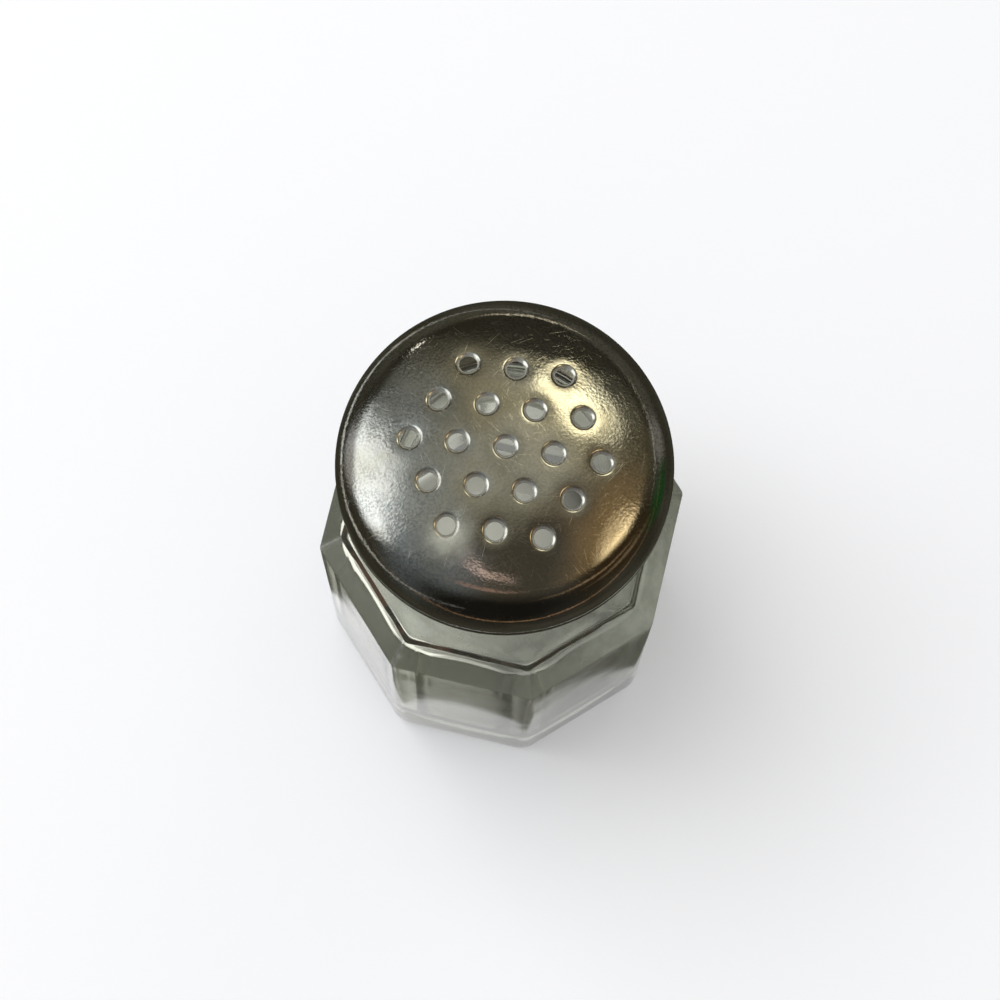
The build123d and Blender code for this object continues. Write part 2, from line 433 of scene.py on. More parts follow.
class Tree:
    """A node tree of a material or a world, emptied and ready to be filled."""

    def __init__(self, owner: Any) -> None:
        """Takes over the owner's nodes.

        Args:
            owner: a material or a world.
        """
        owner.use_nodes = True
        self.nodes = owner.node_tree.nodes
        self.links = owner.node_tree.links
        self.nodes.clear()

    def add(self, kind: str, settings: dict[str, Any] | None = None,
            sockets: dict[str | int, Any] | None = None) -> bpy.types.Node:
        """Adds a node.

        Args:
            kind: the node's type.
            settings: its properties, which are set first.
            sockets: its inputs by name or number, each a plain value, a Value or an output socket.

        Returns:
            The node.
        """
        node = self.nodes.new(kind)
        for name, setting in (settings or {}).items():
            setattr(node, name, setting)
        for name, value in (sockets or {}).items():
            if isinstance(value, Value):
                value = value.socket
            if isinstance(value, Socket):
                self.links.new(value, node.inputs[name])
            else:
                node.inputs[name].default_value = value
        return node

    def millimetres(self) -> Socket:
        """The piece's own coordinates, in millimetres."""
        place = self.add("ShaderNodeTexCoord").outputs["Object"]
        return self.scaled(place, (1 / MM,) * 3)

    def scaled(self, vector: Socket, scale: Colour) -> Socket:
        """A vector times another, part by part."""
        return self.add("ShaderNodeVectorMath", {"operation": "MULTIPLY"}, {0: vector, 1: scale}).outputs[0]

    def moved(self, vector: Socket, by: Any) -> Socket:
        """A vector plus another."""
        return self.add("ShaderNodeVectorMath", {"operation": "ADD"}, {0: vector, 1: by}).outputs[0]

    def dot(self, vector: Socket, way: Sequence[float]) -> Value:
        """How far a vector reaches along a way."""
        node = self.add("ShaderNodeVectorMath", {"operation": "DOT_PRODUCT"}, {0: vector, 1: tuple(way)})
        return Value(self, node.outputs["Value"])

    def distance(self, vector: Socket, point: Sequence[float]) -> Value:
        """Distance from a point."""
        node = self.add("ShaderNodeVectorMath", {"operation": "DISTANCE"}, {0: vector, 1: tuple(point)})
        return Value(self, node.outputs["Value"])

    def mark(self, name: str) -> Value:
        """A mark that the piece carries on its points."""
        return Value(self, self.add("ShaderNodeAttribute", {"attribute_name": name}).outputs["Fac"])

    def noise(self, vector: Socket, scale: float, detail: float, seed: float) -> Value:
        """Noise about a half.

        Args:
            vector: where it is read.
            scale: patches in a unit of length.
            detail: how much finer noise lies on it.
            seed: picks the pattern.

        Returns:
            The noise.
        """
        moved = self.moved(vector, (seed, seed * 1.7, seed * 0.6))
        node = self.add("ShaderNodeTexNoise", None, {"Vector": moved, "Scale": scale, "Detail": detail})
        return Value(self, node.outputs["Fac"])

    def bump(self, micrometres: Value) -> Socket:
        """Normals of a surface that is raised by so much."""
        return self.add("ShaderNodeBump", None, {
            "Strength": 1.0, "Distance": 0.001 * MM, "Height": micrometres}).outputs[0]

    def streaks(self, vector: Socket, angle: float, length: float, width: float,
                rarity: float, seed: float) -> Value:
        """Thin straight marks that lie one way: noise drawn out along a line, cut to its peaks.

        Args:
            vector: coordinates in millimetres.
            angle: the way they lie, in degrees about the upright axis.
            length: rough length of a mark.
            width: rough width of a mark.
            rarity: from 0.5, half covered, to about 0.8, very few.
            seed: picks the pattern.

        Returns:
            1 on a mark and 0 off it.
        """
        turned = self.add("ShaderNodeVectorRotate", {"rotation_type": "Z_AXIS"},
                          {"Vector": vector, "Angle": math.radians(-angle)})
        drawn = self.scaled(turned.outputs[0], (1 / length, 1 / width, 1 / length))
        return self.noise(drawn, 1.0, 1.0, seed).step(rarity, rarity + 0.06)

    def specks(self, vector: Socket, spacing: float, size: float, share: float) -> Value:
        """Round dots scattered at random.

        Args:
            vector: coordinates in millimetres.
            spacing: mean distance between the cells that may hold a dot.
            size: radius of a dot.
            share: share of the cells that hold one.

        Returns:
            1 in a dot and 0 outside it.
        """
        cells = self.add("ShaderNodeTexVoronoi", None, {"Vector": vector, "Scale": 1 / spacing})
        near = Value(self, cells.outputs["Distance"]).step(size / spacing, 0.4 * size / spacing)
        pick = self.add("ShaderNodeSeparateColor", None, {0: cells.outputs["Color"]})
        return near * Value(self, pick.outputs[0]).step(1 - share, 1.001 - share)

    def mixed(self, factor: Value, a: Any, b: Any) -> Socket:
        """Colour a where the factor is 0, b where it is 1.

        Args:
            factor: share of b.
            a: a colour or a socket.
            b: another.

        Returns:
            The colour.
        """
        node = self.add("ShaderNodeMix", {"data_type": "RGBA"}, {0: factor})
        for index, colour in ((6, a), (7, b)):
            if isinstance(colour, Socket):
                self.links.new(colour, node.inputs[index])
            else:
                node.inputs[index].default_value = (*colour, 1)
        return node.outputs[2]


@dataclass(frozen=True)
class Mottle:
    """Noise cut to a share from 0 to 1.

    Attributes:
        scale: patches in a millimetre.
        low: noise at which the share is 0.
        high: noise at which it is 1.
        detail: how much finer noise lies on it.
        seed: picks the pattern.
    """

    scale: float
    low: float
    high: float
    detail: float
    seed: float

    def share(self, tree: Tree, place: Socket) -> Value:
        """The share at each place."""
        return tree.noise(place, self.scale, self.detail, self.seed).step(self.low, self.high)


@dataclass(frozen=True)
class Slope:
    """A share that rises smoothly along a way.

    Attributes:
        way: the way. Places are measured by their dot product with it, in millimetres.
        start: where the share is 0.
        end: where it is 1.
    """

    way: tuple[float, float, float]
    start: float
    end: float

    def share(self, tree: Tree, place: Socket) -> Value:
        """The share at each place."""
        return tree.dot(place, self.way).step(self.start, self.end)


@dataclass(frozen=True)
class Scratches:
    """Straight scratches that lie several ways.

    Attributes:
        runs: angle in degrees, length in millimetres, rarity and seed of those that lie one way.
        width: their width in millimetres.
    """

    runs: tuple[tuple[float, float, float, float], ...]
    width: float

    def cover(self, tree: Tree, place: Socket, breaks: Mottle | None = None) -> Value:
        """1 on a scratch and 0 off it.

        Args:
            tree: the tree of the finish.
            place: coordinates in millimetres.
            breaks: what cuts each run into short scratches. Its seed is added to the run's.

        Returns:
            The cover at each place.
        """
        found = []
        for angle, length, rarity, seed in self.runs:
            streaks = tree.streaks(place, angle, length, self.width, rarity, seed)
            if breaks:
                streaks = streaks * replace(breaks, seed=breaks.seed + seed).share(tree, place)
            found.append(streaks)
        return reduce(or_, found)


@dataclass(frozen=True)
class Deposit:
    """A dried patch of dirt with a ragged edge.

    Attributes:
        middle: its middle, in millimetres.
        radius: distance over which it fades out, in millimetres.
        colour: its colour.
        cover: how far it hides the metal's colour at its thickest.
        ragged: how far its edge wanders, in millimetres.
    """

    middle: tuple[float, float, float]
    radius: float
    colour: Colour = (0.62, 0.62, 0.52)
    cover: float = 0.85
    ragged: float = 2.4

    def share(self, tree: Tree, place: Socket) -> Value:
        """1 in the middle, 0 outside."""
        out = tree.distance(place, self.middle) + tree.noise(place, 0.8, 4.0, 61.0) * self.ragged
        return out.step(self.radius * 1.7, self.radius * 0.3)


@dataclass(frozen=True)
class SteelFinish:
    """Polished stainless sheet with the marks of use.

    Attributes:
        name: the material's name.
        colour: reflectance of the clean metal.
        stain: reflectance where a film of grease and tarnish lies on it.
        deposit: a dried patch on it.
        stained: how far the stain goes, from 0 to 1.
        grit: reflectance of its fine dull specks.
        cut_edge: reflectance of the sheet's rubbed edges, where the piece marks them.
        roughness: roughness of the polish.
        haze: roughness that wear adds at its worst.
        scratch_haze: roughness that a scratch adds.
        edge_haze: roughness that a rubbed edge adds.
        deposit_haze: roughness that the deposit adds.
        grain: depth of the fine unevenness, in micrometres.
        pitting: how much deeper it is on the sides that knocks and grit have worn most.
        scratch: depth of the scratches, in micrometres.
        dent: depth of the knocks, in micrometres.
        wear_reach: distance from the axis within which hands and cloths wear it most, in millimetres.
        wear: where it is worn.
        rubs: finer pattern of the worn haze.
        film: where the stain lies.
        specks: pattern of the dull specks.
        patches: where the pitted sides are pitted.
        left_side: the one pitted side.
        right_side: the other pitted side, a little less so.
        fine: the fine scratches.
        breaks: what breaks them into short ones.
        long: the few long scratches, which bend a little.
    """

    name: str
    colour: Colour
    stain: Colour
    deposit: Deposit | None = None
    stained: float = 0.7
    grit: Colour = (0.33, 0.33, 0.31)
    cut_edge: Colour = (0.88, 0.86, 0.78)
    roughness: float = 0.05
    haze: float = 0.08
    scratch_haze: float = 0.06
    edge_haze: float = 0.13
    deposit_haze: float = 0.2
    grain: float = 7.0
    pitting: float = 2.2
    scratch: float = 3.8
    dent: float = 9.0
    wear_reach: float = 14.0
    wear: Mottle = Mottle(0.16, 0.3, 0.7, 3.0, 4.0)
    rubs: Mottle = Mottle(0.9, 0.42, 0.66, 4.0, 33.0)
    film: Mottle = Mottle(0.11, 0.4, 0.62, 4.0, 21.0)
    specks: Mottle = Mottle(3.4, 0.56, 0.40, 2.0, 87.0)
    patches: Mottle = Mottle(0.35, 0.32, 0.62, 3.0, 45.0)
    left_side: Slope = Slope((1.0, 0.25, 0.0), -2.0, -11.0)
    right_side: Slope = Slope((0.7, 0.7, 0.0), 3.0, 9.0)
    fine: Scratches = Scratches(((14, 10, 0.66, 1), (37, 10, 0.68, 7), (62, 10, 0.67, 13),
                                 (119, 10, 0.68, 19), (139, 10, 0.66, 31), (166, 10, 0.68, 37)), 0.06)
    breaks: Mottle = Mottle(0.9, 0.47, 0.60, 2.0, 80.0)
    long: Scratches = Scratches(((24, 6, 0.755, 51), (88, 9, 0.755, 57), (118, 7, 0.755, 63),
                                 (150, 5, 0.755, 71)), 0.09)

    def material(self) -> bpy.types.Material:
        """Scratches lie every way over fine pitting, and both are stronger in worn patches.

        Returns:
            The material.
        """
        material = bpy.data.materials.new(self.name)
        tree = Tree(material)
        place = tree.millimetres()
        from_axis = tree.distance(tree.scaled(place, (1, 1, 0)), (0, 0, 0))
        crown = from_axis.step(self.wear_reach * 1.2, self.wear_reach * 0.6)
        worn = self.wear.share(tree, place) * crown.between(0.2, 1.0)
        sides = self.left_side.share(tree, place) | 0.8 * self.right_side.share(tree, place)
        gritty = sides * self.patches.share(tree, place)
        edge = tree.mark(EDGE_MARK)
        deep = self.scratches(tree, place, worn)
        grain = tree.noise(place, 3.2, 1.5, 9.0) * self.grain * (0.6 + worn + gritty * self.pitting)
        knocks = tree.specks(place, 1.4, 0.12, 0.35)
        rough = self.roughness + self.haze * worn * self.rubs.share(tree, place).between(0.55, 1.0)
        rough = rough + self.scratch_haze * deep + self.edge_haze * edge
        colour = tree.mixed(self.film.share(tree, place) * self.stained, self.colour, self.stain)
        specks = self.specks.share(tree, place) * gritty.between(0.20, 0.65)
        colour = tree.mixed(edge, tree.mixed(specks, colour, self.grit), self.cut_edge)
        dulled = 0.2 * edge
        if self.deposit:
            dried = self.deposit.share(tree, place) * (1 - edge)
            colour = tree.mixed(self.deposit.cover * dried, colour, self.deposit.colour)
            rough = rough + self.deposit_haze * dried
            dulled = dulled | 0.5 * dried
        shader = tree.add("ShaderNodeBsdfPrincipled", None, {
            "Base Color": colour, "Metallic": 1.0 - dulled, "Roughness": rough,
            "Normal": tree.bump(grain - deep * self.scratch - knocks * self.dent)})
        tree.add("ShaderNodeOutputMaterial", None, {"Surface": shader.outputs[0]})
        return material

    def scratches(self, tree: Tree, place: Socket, worn: Value) -> Value:
        """Cover of all scratches. The fine ones are fainter where the sheet is less worn.

        Args:
            tree: the finish's tree.
            place: coordinates in millimetres.
            worn: how worn the sheet is, from 0 to 1.

        Returns:
            1 on a scratch and 0 off it.
        """
        drift = tree.add("ShaderNodeTexNoise", None, {"Vector": place, "Scale": 0.1, "Detail": 0.0})
        bent = tree.moved(place, tree.scaled(drift.outputs["Color"], (1.5, 1.5, 1.5)))
        fine = self.fine.cover(tree, place, self.breaks) * worn.between(0.35, 1.0)
        return fine | self.long.cover(tree, bent)


@dataclass(frozen=True)
class GlassFinish:
    """Clear pressed glass, a little green where it is thick.

    Attributes:
        name: the material's name.
        surface: tint of light that crosses the surface.
        depth_colour: colour that the depth of the glass lets through.
        density: how strongly it does, per metre.
        roughness: roughness of the surface.
        rubbed_haze: roughness that rubbing adds.
        film_roughness: roughness of the film that paints the highlights, shade and light.
        ripple: depth of the fine unevenness that the mould leaves, in micrometres.
        shadow: share of a lamp's light, by colour, that the glass lets through to what it shades.
        highlight_colour: colour of the painted highlights on the edges.
        crease_shade: colour of the painted shade in the crease inside the ridge.
        brown_crease_shade: colour of that painted shade where it is browner.
        light_film: colour of the pale film that paints light on the glass.
        rubbed: where the surface is rubbed.
        edge_highlight: where along the edges the highlight is painted.
        thick: where the painted crease shade is strongest.
        brown: where the painted crease shade is brown.
        light_patches: where that painted light is strongest.
    """

    name: str
    surface: Colour = (0.98, 0.985, 0.975)
    depth_colour: Colour = (0.56, 0.58, 0.48)
    density: float = 40.0
    roughness: float = 0.09
    rubbed_haze: float = 0.05
    film_roughness: float = 0.45
    ripple: float = 8.0
    shadow: Colour = (0.16, 0.17, 0.15)
    highlight_colour: Colour = (0.80, 0.80, 0.75)
    crease_shade: Colour = (0.030, 0.026, 0.020)
    brown_crease_shade: Colour = (0.11, 0.060, 0.038)
    light_film: Colour = (0.68, 0.72, 0.60)
    rubbed: Mottle = Mottle(0.5, 0.55, 0.75, 3.0, 11.0)
    edge_highlight: Mottle = Mottle(0.9, 0.40, 0.62, 3.0, 27.0)
    thick: Mottle = Mottle(0.9, 0.35, 0.60, 3.0, 27.0)
    brown: Mottle = Mottle(0.22, 0.42, 0.58, 3.0, 49.0)
    light_patches: Mottle = Mottle(0.5, 0.30, 0.70, 2.0, 38.0)

    def material(self) -> bpy.types.Material:
        """Refracting glass that lets part of a lamp's light through where it would cast a shadow, under
        a film that paints pale highlights on its edges, shade in the crease inside the ridge, and pale light
        on the shoulder and one side of the bevel.

        Returns:
            The material.
        """
        material = bpy.data.materials.new(self.name)
        tree = Tree(material)
        place = tree.millimetres()
        glass = tree.add("ShaderNodeBsdfPrincipled", None, {
            "Base Color": (*self.surface, 1), "IOR": 1.5, "Transmission Weight": 1.0,
            "Roughness": self.roughness + self.rubbed_haze * self.rubbed.share(tree, place),
            "Normal": tree.bump(tree.noise(place, 0.4, 1.0, 3.0) * self.ripple)})
        cover, colour = self.film(tree, place)
        film = tree.add("ShaderNodeBsdfPrincipled", None, {
            "Base Color": colour, "Roughness": self.film_roughness})
        marked = tree.add("ShaderNodeMixShader", None, {0: cover, 1: glass.outputs[0], 2: film.outputs[0]})
        clear = tree.add("ShaderNodeBsdfTransparent", None, {"Color": (*self.shadow, 1)})
        light = tree.add("ShaderNodeLightPath")
        both = tree.add("ShaderNodeMixShader", None, {
            0: light.outputs["Is Shadow Ray"], 1: marked.outputs[0], 2: clear.outputs[0]})
        depth = tree.add("ShaderNodeVolumeAbsorption", None, {
            "Color": (*self.depth_colour, 1), "Density": self.density})
        tree.add("ShaderNodeOutputMaterial", None, {"Surface": both.outputs[0], "Volume": depth.outputs[0]})
        return material

    def film(self, tree: Tree, place: Socket) -> tuple[Value, Socket]:
        """The film on the glass: the greatest of the painted crease shade, the painted edge highlights and
        the pale film that paints light.

        Args:
            tree: the finish's tree.
            place: coordinates in millimetres.

        Returns:
            The cover, from 0 to 1, and the colour.
        """
        # painted shade in the crease inside the ridge
        crease_shade = tree.mark(CREASE_SHADE_MARK) * self.thick.share(tree, place).between(0.78, 0.94)
        # painted highlight on the ridge and the upright corners
        edge_highlight = tree.mark(EDGE_HIGHLIGHT_MARK) * self.edge_highlight.share(tree, place).between(0.15, 0.60)
        # pale film that paints light on the shoulder and one side of the bevel
        fine = tree.noise(place, self.edge_highlight.scale, self.edge_highlight.detail, self.edge_highlight.seed)
        light_film = tree.mark(LIGHT_FILM_MARK) * (self.light_patches.share(tree, place).between(0.48, 0.66) + 0.10 * fine)
        pale = tree.mixed((edge_highlight - light_film).step(-0.05, 0.05), self.light_film, self.highlight_colour)
        # dark and brown painted shade for the crease
        dirt = tree.mixed(self.brown.share(tree, place), self.crease_shade, self.brown_crease_shade)
        return crease_shade | edge_highlight | light_film, tree.mixed(crease_shade.step(0.05, 0.4), pale, dirt)


@dataclass(frozen=True)
class PlasticFinish:
    """Milky gasket plastic, a little uneven in tone.

    Attributes:
        name: the material's name.
        colour: its colour.
        shade: its colour where it has yellowed.
        roughness: roughness of its surface.
        grain: depth of its moulded grain, in micrometres.
        mottle: where it has yellowed.
    """

    name: str
    colour: Colour
    shade: Colour
    roughness: float = 0.42
    grain: float = 6.0
    mottle: Mottle = Mottle(0.35, 0.35, 0.7, 3.0, 2.0)

    def material(self) -> bpy.types.Material:
        """A soft sheen over mottled colour, with a fine moulded grain.

        Returns:
            The material.
        """
        material = bpy.data.materials.new(self.name)
        tree = Tree(material)
        place = tree.millimetres()
        mottle = self.mottle.share(tree, place)
        grain = tree.noise(place, 6.0, 2.0, 8.0) * self.grain
        shader = tree.add("ShaderNodeBsdfPrincipled", None, {
            "Base Color": tree.mixed(mottle, self.colour, self.shade),
            "Roughness": self.roughness + 0.15 * mottle, "Normal": tree.bump(grain),
            "Subsurface Weight": 0.3, "Subsurface Scale": 1.5 * MM})
        tree.add("ShaderNodeOutputMaterial", None, {"Surface": shader.outputs[0]})
        return material


# ------------------------------------------------------------------ the jar


class Bend(IntEnum):
    """Corners of the jar's outer profile, from the middle of its base to the bore."""

    MIDDLE = 0
    FOOT = 1
    HEEL = 2
    WIDEST = 3
    RIDGE = 4
    LEDGE = 5
    NECK = 6
    LIP = 7
    MOUTH = 8
    BORE = 9


@dataclass
class PressedJar:
    """The glass jar, in millimetres. A flat is the distance from the axis to a panel's middle.

    Attributes:
        height: base to lip.
        widest_flat: flat where the body is widest.
        base_flat: flat at the base.
        ridge_flat: flat at the ridge, above the bevel.
        ledge_width: width of the ledge inside the ridge.
        ledge_drop: how far the ledge lies below the ridge.
        well_flat: flat of the octagonal inside.
        neck: radius of the neck.
        bore: radius inside the neck.
        rim: radius of the hollow under the base.
        dish: depth of that hollow.
        widest_z: height where the body is widest.
        ridge_z: height of the ridge.
        neck_z: height of the neck's foot.
        floor_z: height of the inside's floor.
        cone_low: radius and height of the foot of the cone inside.
        cone_top_z: height of its top.
        cone_skirt: how far below its foot the cone runs straight down.
        heel: rounding of the base's edge.
        floor_round: rounding of the inside's floor.
        edge: rounding of the widest edge.
        ridge_edge: rounding of the ridge.
        ledge_edge: rounding of the ledge's inner corner.
        lip_round: rounding of the lip.
        base_rounding: rounding of the base's upright corners, as a share of the flat.
        body_rounding: the same for the body.
        well_rounding: the same for the inside.
        cove_blend: how softly the shoulder's facets meet the cove.
        cone_blend: how softly the well meets the cone.
        outer_wave: height of the slow waves outside.
        inset: how far the body is drawn in to leave room for them.
        inner_wave: height of the waves inside.
        floor_wave: height of the waves on the floor.
        ridge_loss: how much of the ridge is worn away.
        ridge_nicks: how unevenly it is.
        corner_highlight: angle from an upright corner within which a highlight is painted, in degrees.
        shaded_side_way: angle of the side where the painted crease shade is widest, in degrees about the
            axis.
        lit_side_way: angle of the side where the bevel carries the most painted light.
        lit_side_reach: angle over which that fades.
        per_half_side: columns of points from a panel's middle to its corner.
        crowding: how strongly they crowd at the corner.
        thread: the thread on the neck.
    """

    height: float
    widest_flat: float
    base_flat: float = 19.956
    ridge_flat: float = 17.877
    ledge_width: float = 0.7
    ledge_drop: float = 0.2
    well_flat: float = 17.156
    neck: float = 13.9
    bore: float = 12.2
    rim: float = 13.0
    dish: float = 0.8
    widest_z: float = 40.2
    ridge_z: float = 43.9
    neck_z: float = 52.0
    floor_z: float = 5.5
    cone_low: tuple[float, float] = (18.569, 39.0)
    cone_top_z: float = 48.5
    cone_skirt: float = 9.0
    heel: float = 2.0
    floor_round: float = 3.0
    edge: float = 0.45
    ridge_edge: float = 0.16
    ledge_edge: float = 0.315
    lip_round: float = 0.5
    base_rounding: float = 0.16
    body_rounding: float = 0.045
    well_rounding: float = 0.5
    cove_blend: float = 0.22
    cone_blend: float = 0.25
    outer_wave: float = 0.02
    inset: float = 0.04
    inner_wave: float = 0.05
    floor_wave: float = 0.03
    ridge_loss: float = 0.06
    ridge_nicks: float = 0.05
    corner_highlight: float = 1.1
    shaded_side_way: float = 200.0
    lit_side_way: float = -18.0
    lit_side_reach: float = 38.0
    per_half_side: int = 22
    crowding: float = 3.4
    thread: Thread = Thread(PITCH, turns=1.55, foot=57.379, angle=-93.1, depth=1.0, half_width=0.98)

    def outside(self) -> list[Corner]:
        """Corners of the outer profile, one for each Bend.

        Returns:
            The corners.
        """
        ledge_flat = self.ridge_flat - self.ledge_width
        body = self.body_rounding
        return [Corner(0, 0),
                Corner(self.rim, 0, step=1.6),
                Corner(self.base_flat, 0, self.heel, 1.0, self.base_rounding),
                Corner(self.widest_flat, self.widest_z, self.edge, 1.5, body),
                Corner(self.ridge_flat, self.ridge_z, self.ridge_edge, 0.2, body),
                Corner(ledge_flat, self.ridge_z - self.ledge_drop, self.ledge_edge, 0.05, body),
                Corner(self.neck, self.neck_z, 0.3, 0.3),
                Corner(self.neck, self.height, self.lip_round, 0.26),
                Corner(self.bore, self.height, self.lip_round, 0.4),
                Corner(self.bore, self.neck_z, step=1.2)]

    def cone(self) -> list[Corner]:
        """Corners of the round inside: the bore and the cone below it.

        Returns:
            The corners.
        """
        radius, foot = self.cone_low
        return [Corner(self.bore, self.neck_z), Corner(self.bore, self.cone_top_z, 3.0, 0.5),
                Corner(radius, foot, 1.5, 0.35), Corner(radius, foot - self.cone_skirt, step=1.5)]

    def well(self) -> list[Corner]:
        """Corners of the octagonal inside, down to the middle of the floor.

        Returns:
            The corners.
        """
        return [Corner(self.well_flat, self.cone_low[1] - self.cone_skirt),
                Corner(self.well_flat, self.floor_z, self.floor_round, 1.5),
                Corner(0, self.floor_z, step=1.5)]

    def cove(self, z: np.ndarray) -> np.ndarray:
        """Radius of the round cove under the neck: neck + R - sqrt(R² - (neck_z - z)²).

        Args:
            z: heights.

        Returns:
            The radius at each height.
        """
        foot = (self.ridge_flat - self.ledge_width) / math.cos(HALF_SIDE)
        reach, rise = foot - self.neck, self.neck_z - self.ridge_z
        curve = (reach**2 + rise**2) / (2 * reach)
        return self.neck + curve - np.sqrt(curve**2 - np.clip(self.neck_z - z, 0, rise) ** 2)

    def outer_surface(self, theta: np.ndarray) -> tuple[np.ndarray, np.ndarray]:
        """Tables of radius and height of the outside: an octagon whose flat and rounding follow the
        profile, eased into the cove above the ledge, with the thread on the neck, slow waves on the
        panels, and a shallow hollow z = dish (1 - (r / rim)²) under the base.

        Args:
            theta: angles about the axis, as a row.

        Returns:
            Radius and height, with a row for each point of the profile.
        """
        corners = self.outside()
        points, place = trace(corners)
        flat, z, place = points[:, :1], points[:, 1:], place[:, None]
        rounding = np.interp(place, range(len(corners)), [corner.rounding for corner in corners])
        radius = octagon_radius(theta, flat, rounding * flat)
        climb = (z - self.ridge_z) / (self.neck_z - self.ridge_z)
        on_shoulder = (place > Bend.LEDGE) & (place < Bend.NECK)
        softness = np.clip(self.cove_blend * (1 - climb), 0.02, self.cove_blend)
        radius = np.where(on_shoulder, soft_minimum(radius, self.cove(z), softness), radius)
        on_body = span(place, Bend.HEEL - 0.4, 0.6, Bend.NECK + 0.4, 0.8)
        radius = radius + on_body * (waviness(theta, z, 5, self.outer_wave, 6) - self.inset)
        worn_off = self.ridge_loss + waviness(theta, z * 0, 17, self.ridge_nicks, 46)
        radius = radius - bell(place - Bend.RIDGE - 0.2, 0.5) * worn_off
        on_neck = smooth_step((z - self.neck_z) / 0.5) * (place < Bend.LIP + 0.2)
        radius = radius + self.thread.relief(theta, z) * on_neck
        hollow = self.dish * np.clip(1 - (flat / self.rim) ** 2, 0, 1) * (place < Bend.HEEL)
        return radius, z + hollow

    def inner_surface(self, theta: np.ndarray) -> tuple[np.ndarray, np.ndarray]:
        """Tables of radius and height of the inside: the smaller of the octagonal well and the round
        cone, with stronger waves than outside, because no mould wall smoothed it.

        Args:
            theta: angles about the axis, as a row.

        Returns:
            Radius and height, with a row for each point of the profile.
        """
        upper, _ = trace(self.cone())
        lower, place = trace(self.well())
        flat = np.concatenate([np.full(len(upper), self.well_flat), lower[1:, 0]])[:, None]
        z = np.concatenate([upper[:, 1], lower[1:, 1]])[:, None]
        cone = np.concatenate([upper[:, 0], np.full(len(lower) - 1, np.inf)])[:, None]
        place = np.concatenate([np.zeros(len(upper)), place[1:]])[:, None]
        rounding = np.interp(place, [0, 1, 2], [self.well_rounding, self.well_rounding, CIRCLE])
        radius = soft_minimum(octagon_radius(theta, flat, rounding * flat), cone, self.cone_blend)
        below_neck = smooth_step((self.neck_z - 1.5 - z) / 4)
        waves = waviness(theta, z, 29, self.inner_wave, 6) * below_neck * np.clip(flat / self.well_flat, 0, 1)
        lift = waviness(theta, flat, 41, self.floor_wave, 5) * (2 - np.clip(place, 1, 2)) * (place > 0.97)
        return radius + waves, z + lift * np.clip(flat / 4, 0, 1)

    def wear(self, theta: np.ndarray) -> dict[str, np.ndarray]:
        """Where painted highlights, painted shade and painted light lie on the outside.

        A pale highlight is painted on the ridge in a bell over the place along the profile, and on the
        upright corners in one over the angle from them. Shade is painted on the ledge inside the ridge in two
        wandering lines, and fills the space between them by a smooth step of 1.4 (1 + cos b) / 2, where b is
        the angle from the side where it is widest. A pale film that paints light lies on the shoulder, and on
        the bevel and upper panels of one side.

        Args:
            theta: angles about the axis, as a row.

        Returns:
            The share of each mark by its name, with a row for each point of the outer profile.
        """
        place = trace(self.outside())[1][:, None]
        uneven = np.clip(0.7 + waviness(theta, place * 0, 53, 0.3, 40), 0, 1)
        # painted highlight along the ridge, and below it along the upright corners
        crest = 0.8 * bell(place - Bend.RIDGE, np.where(place < Bend.RIDGE, 0.025, 0.05)) * uneven
        from_corner = np.abs(theta % SIDE_ANGLE - HALF_SIDE)
        upright = bell(from_corner, math.radians(self.corner_highlight))
        upright = 0.3 * upright * span(place, Bend.WIDEST - 0.7, 0.3, Bend.RIDGE, 0.1)
        # painted shade in the crease inside the ridge, widest on one side
        along = place - Bend.RIDGE - waviness(theta, place * 0, 59, 0.03, 30)
        lines = 0.85 * (bell(along - 0.18, 0.09) + bell(along - 0.84, 0.10))
        shaded_side = (1 + np.cos(theta - math.radians(self.shaded_side_way))) / 2
        fill = span(place, Bend.RIDGE - 0.035, 0.05, Bend.LEDGE + 0.02, 0.12) * smooth_step(1.4 * shaded_side)
        # painted light on the shoulder and on one side of the bevel
        shoulder = 0.55 * span(place, Bend.LEDGE - 0.05, 0.1, Bend.NECK + 0.1, 0.2)
        from_side = (theta - math.radians(self.lit_side_way) + math.pi) % (2 * math.pi) - math.pi
        bevel = bell(from_side, math.radians(self.lit_side_reach))
        bevel = bevel * (0.15 + 0.85 * smooth_step((place - Bend.WIDEST + 0.1) / 0.15))
        bevel = bevel * span(place, Bend.WIDEST - 0.7, 0.6, Bend.RIDGE + 0.05, 0.1)
        return {EDGE_HIGHLIGHT_MARK: np.maximum(crest, upright),
                CREASE_SHADE_MARK: np.clip(np.maximum(lines, fill), 0, 1),
                LIGHT_FILM_MARK: np.maximum(shoulder, bevel)}

    def build(self) -> bpy.types.Object:
        """The closed glass surface, from the base's middle round the lip to the floor's middle.

        Returns:
            The piece.
        """
        theta = side_columns(self.per_half_side, self.crowding)[None]
        outer_r, outer_z = self.outer_surface(theta)
        inner_r, inner_z = self.inner_surface(theta)
        radius = np.concatenate([outer_r[1:], inner_r[1:-1]])
        height = np.concatenate([np.broadcast_to(outer_z[1:], outer_r[1:].shape),
                                 np.broadcast_to(inner_z[1:-1], inner_r[1:-1].shape)])
        index = np.arange(radius.size).reshape(radius.shape)
        poles = np.array([[0, 0, float(outer_z[0, 0])], [0, 0, float(np.mean(inner_z[-1]))]])
        points = np.concatenate([spin(radius, height, theta), poles])
        faces = [band_faces(index), pole_faces(index[0], radius.size, False),
                 pole_faces(index[-1], radius.size + 1, True)]
        jar = make_piece("pressed_glass_jar", points, faces, sharp=75)
        for name, share in self.wear(theta).items():
            outside = np.broadcast_to(share[1:], outer_r[1:].shape).ravel()
            mark_points(jar, name, np.concatenate([outside, np.zeros(len(points) - outside.size)]))
        return jar


# ------------------------------------------------------------------ the lid


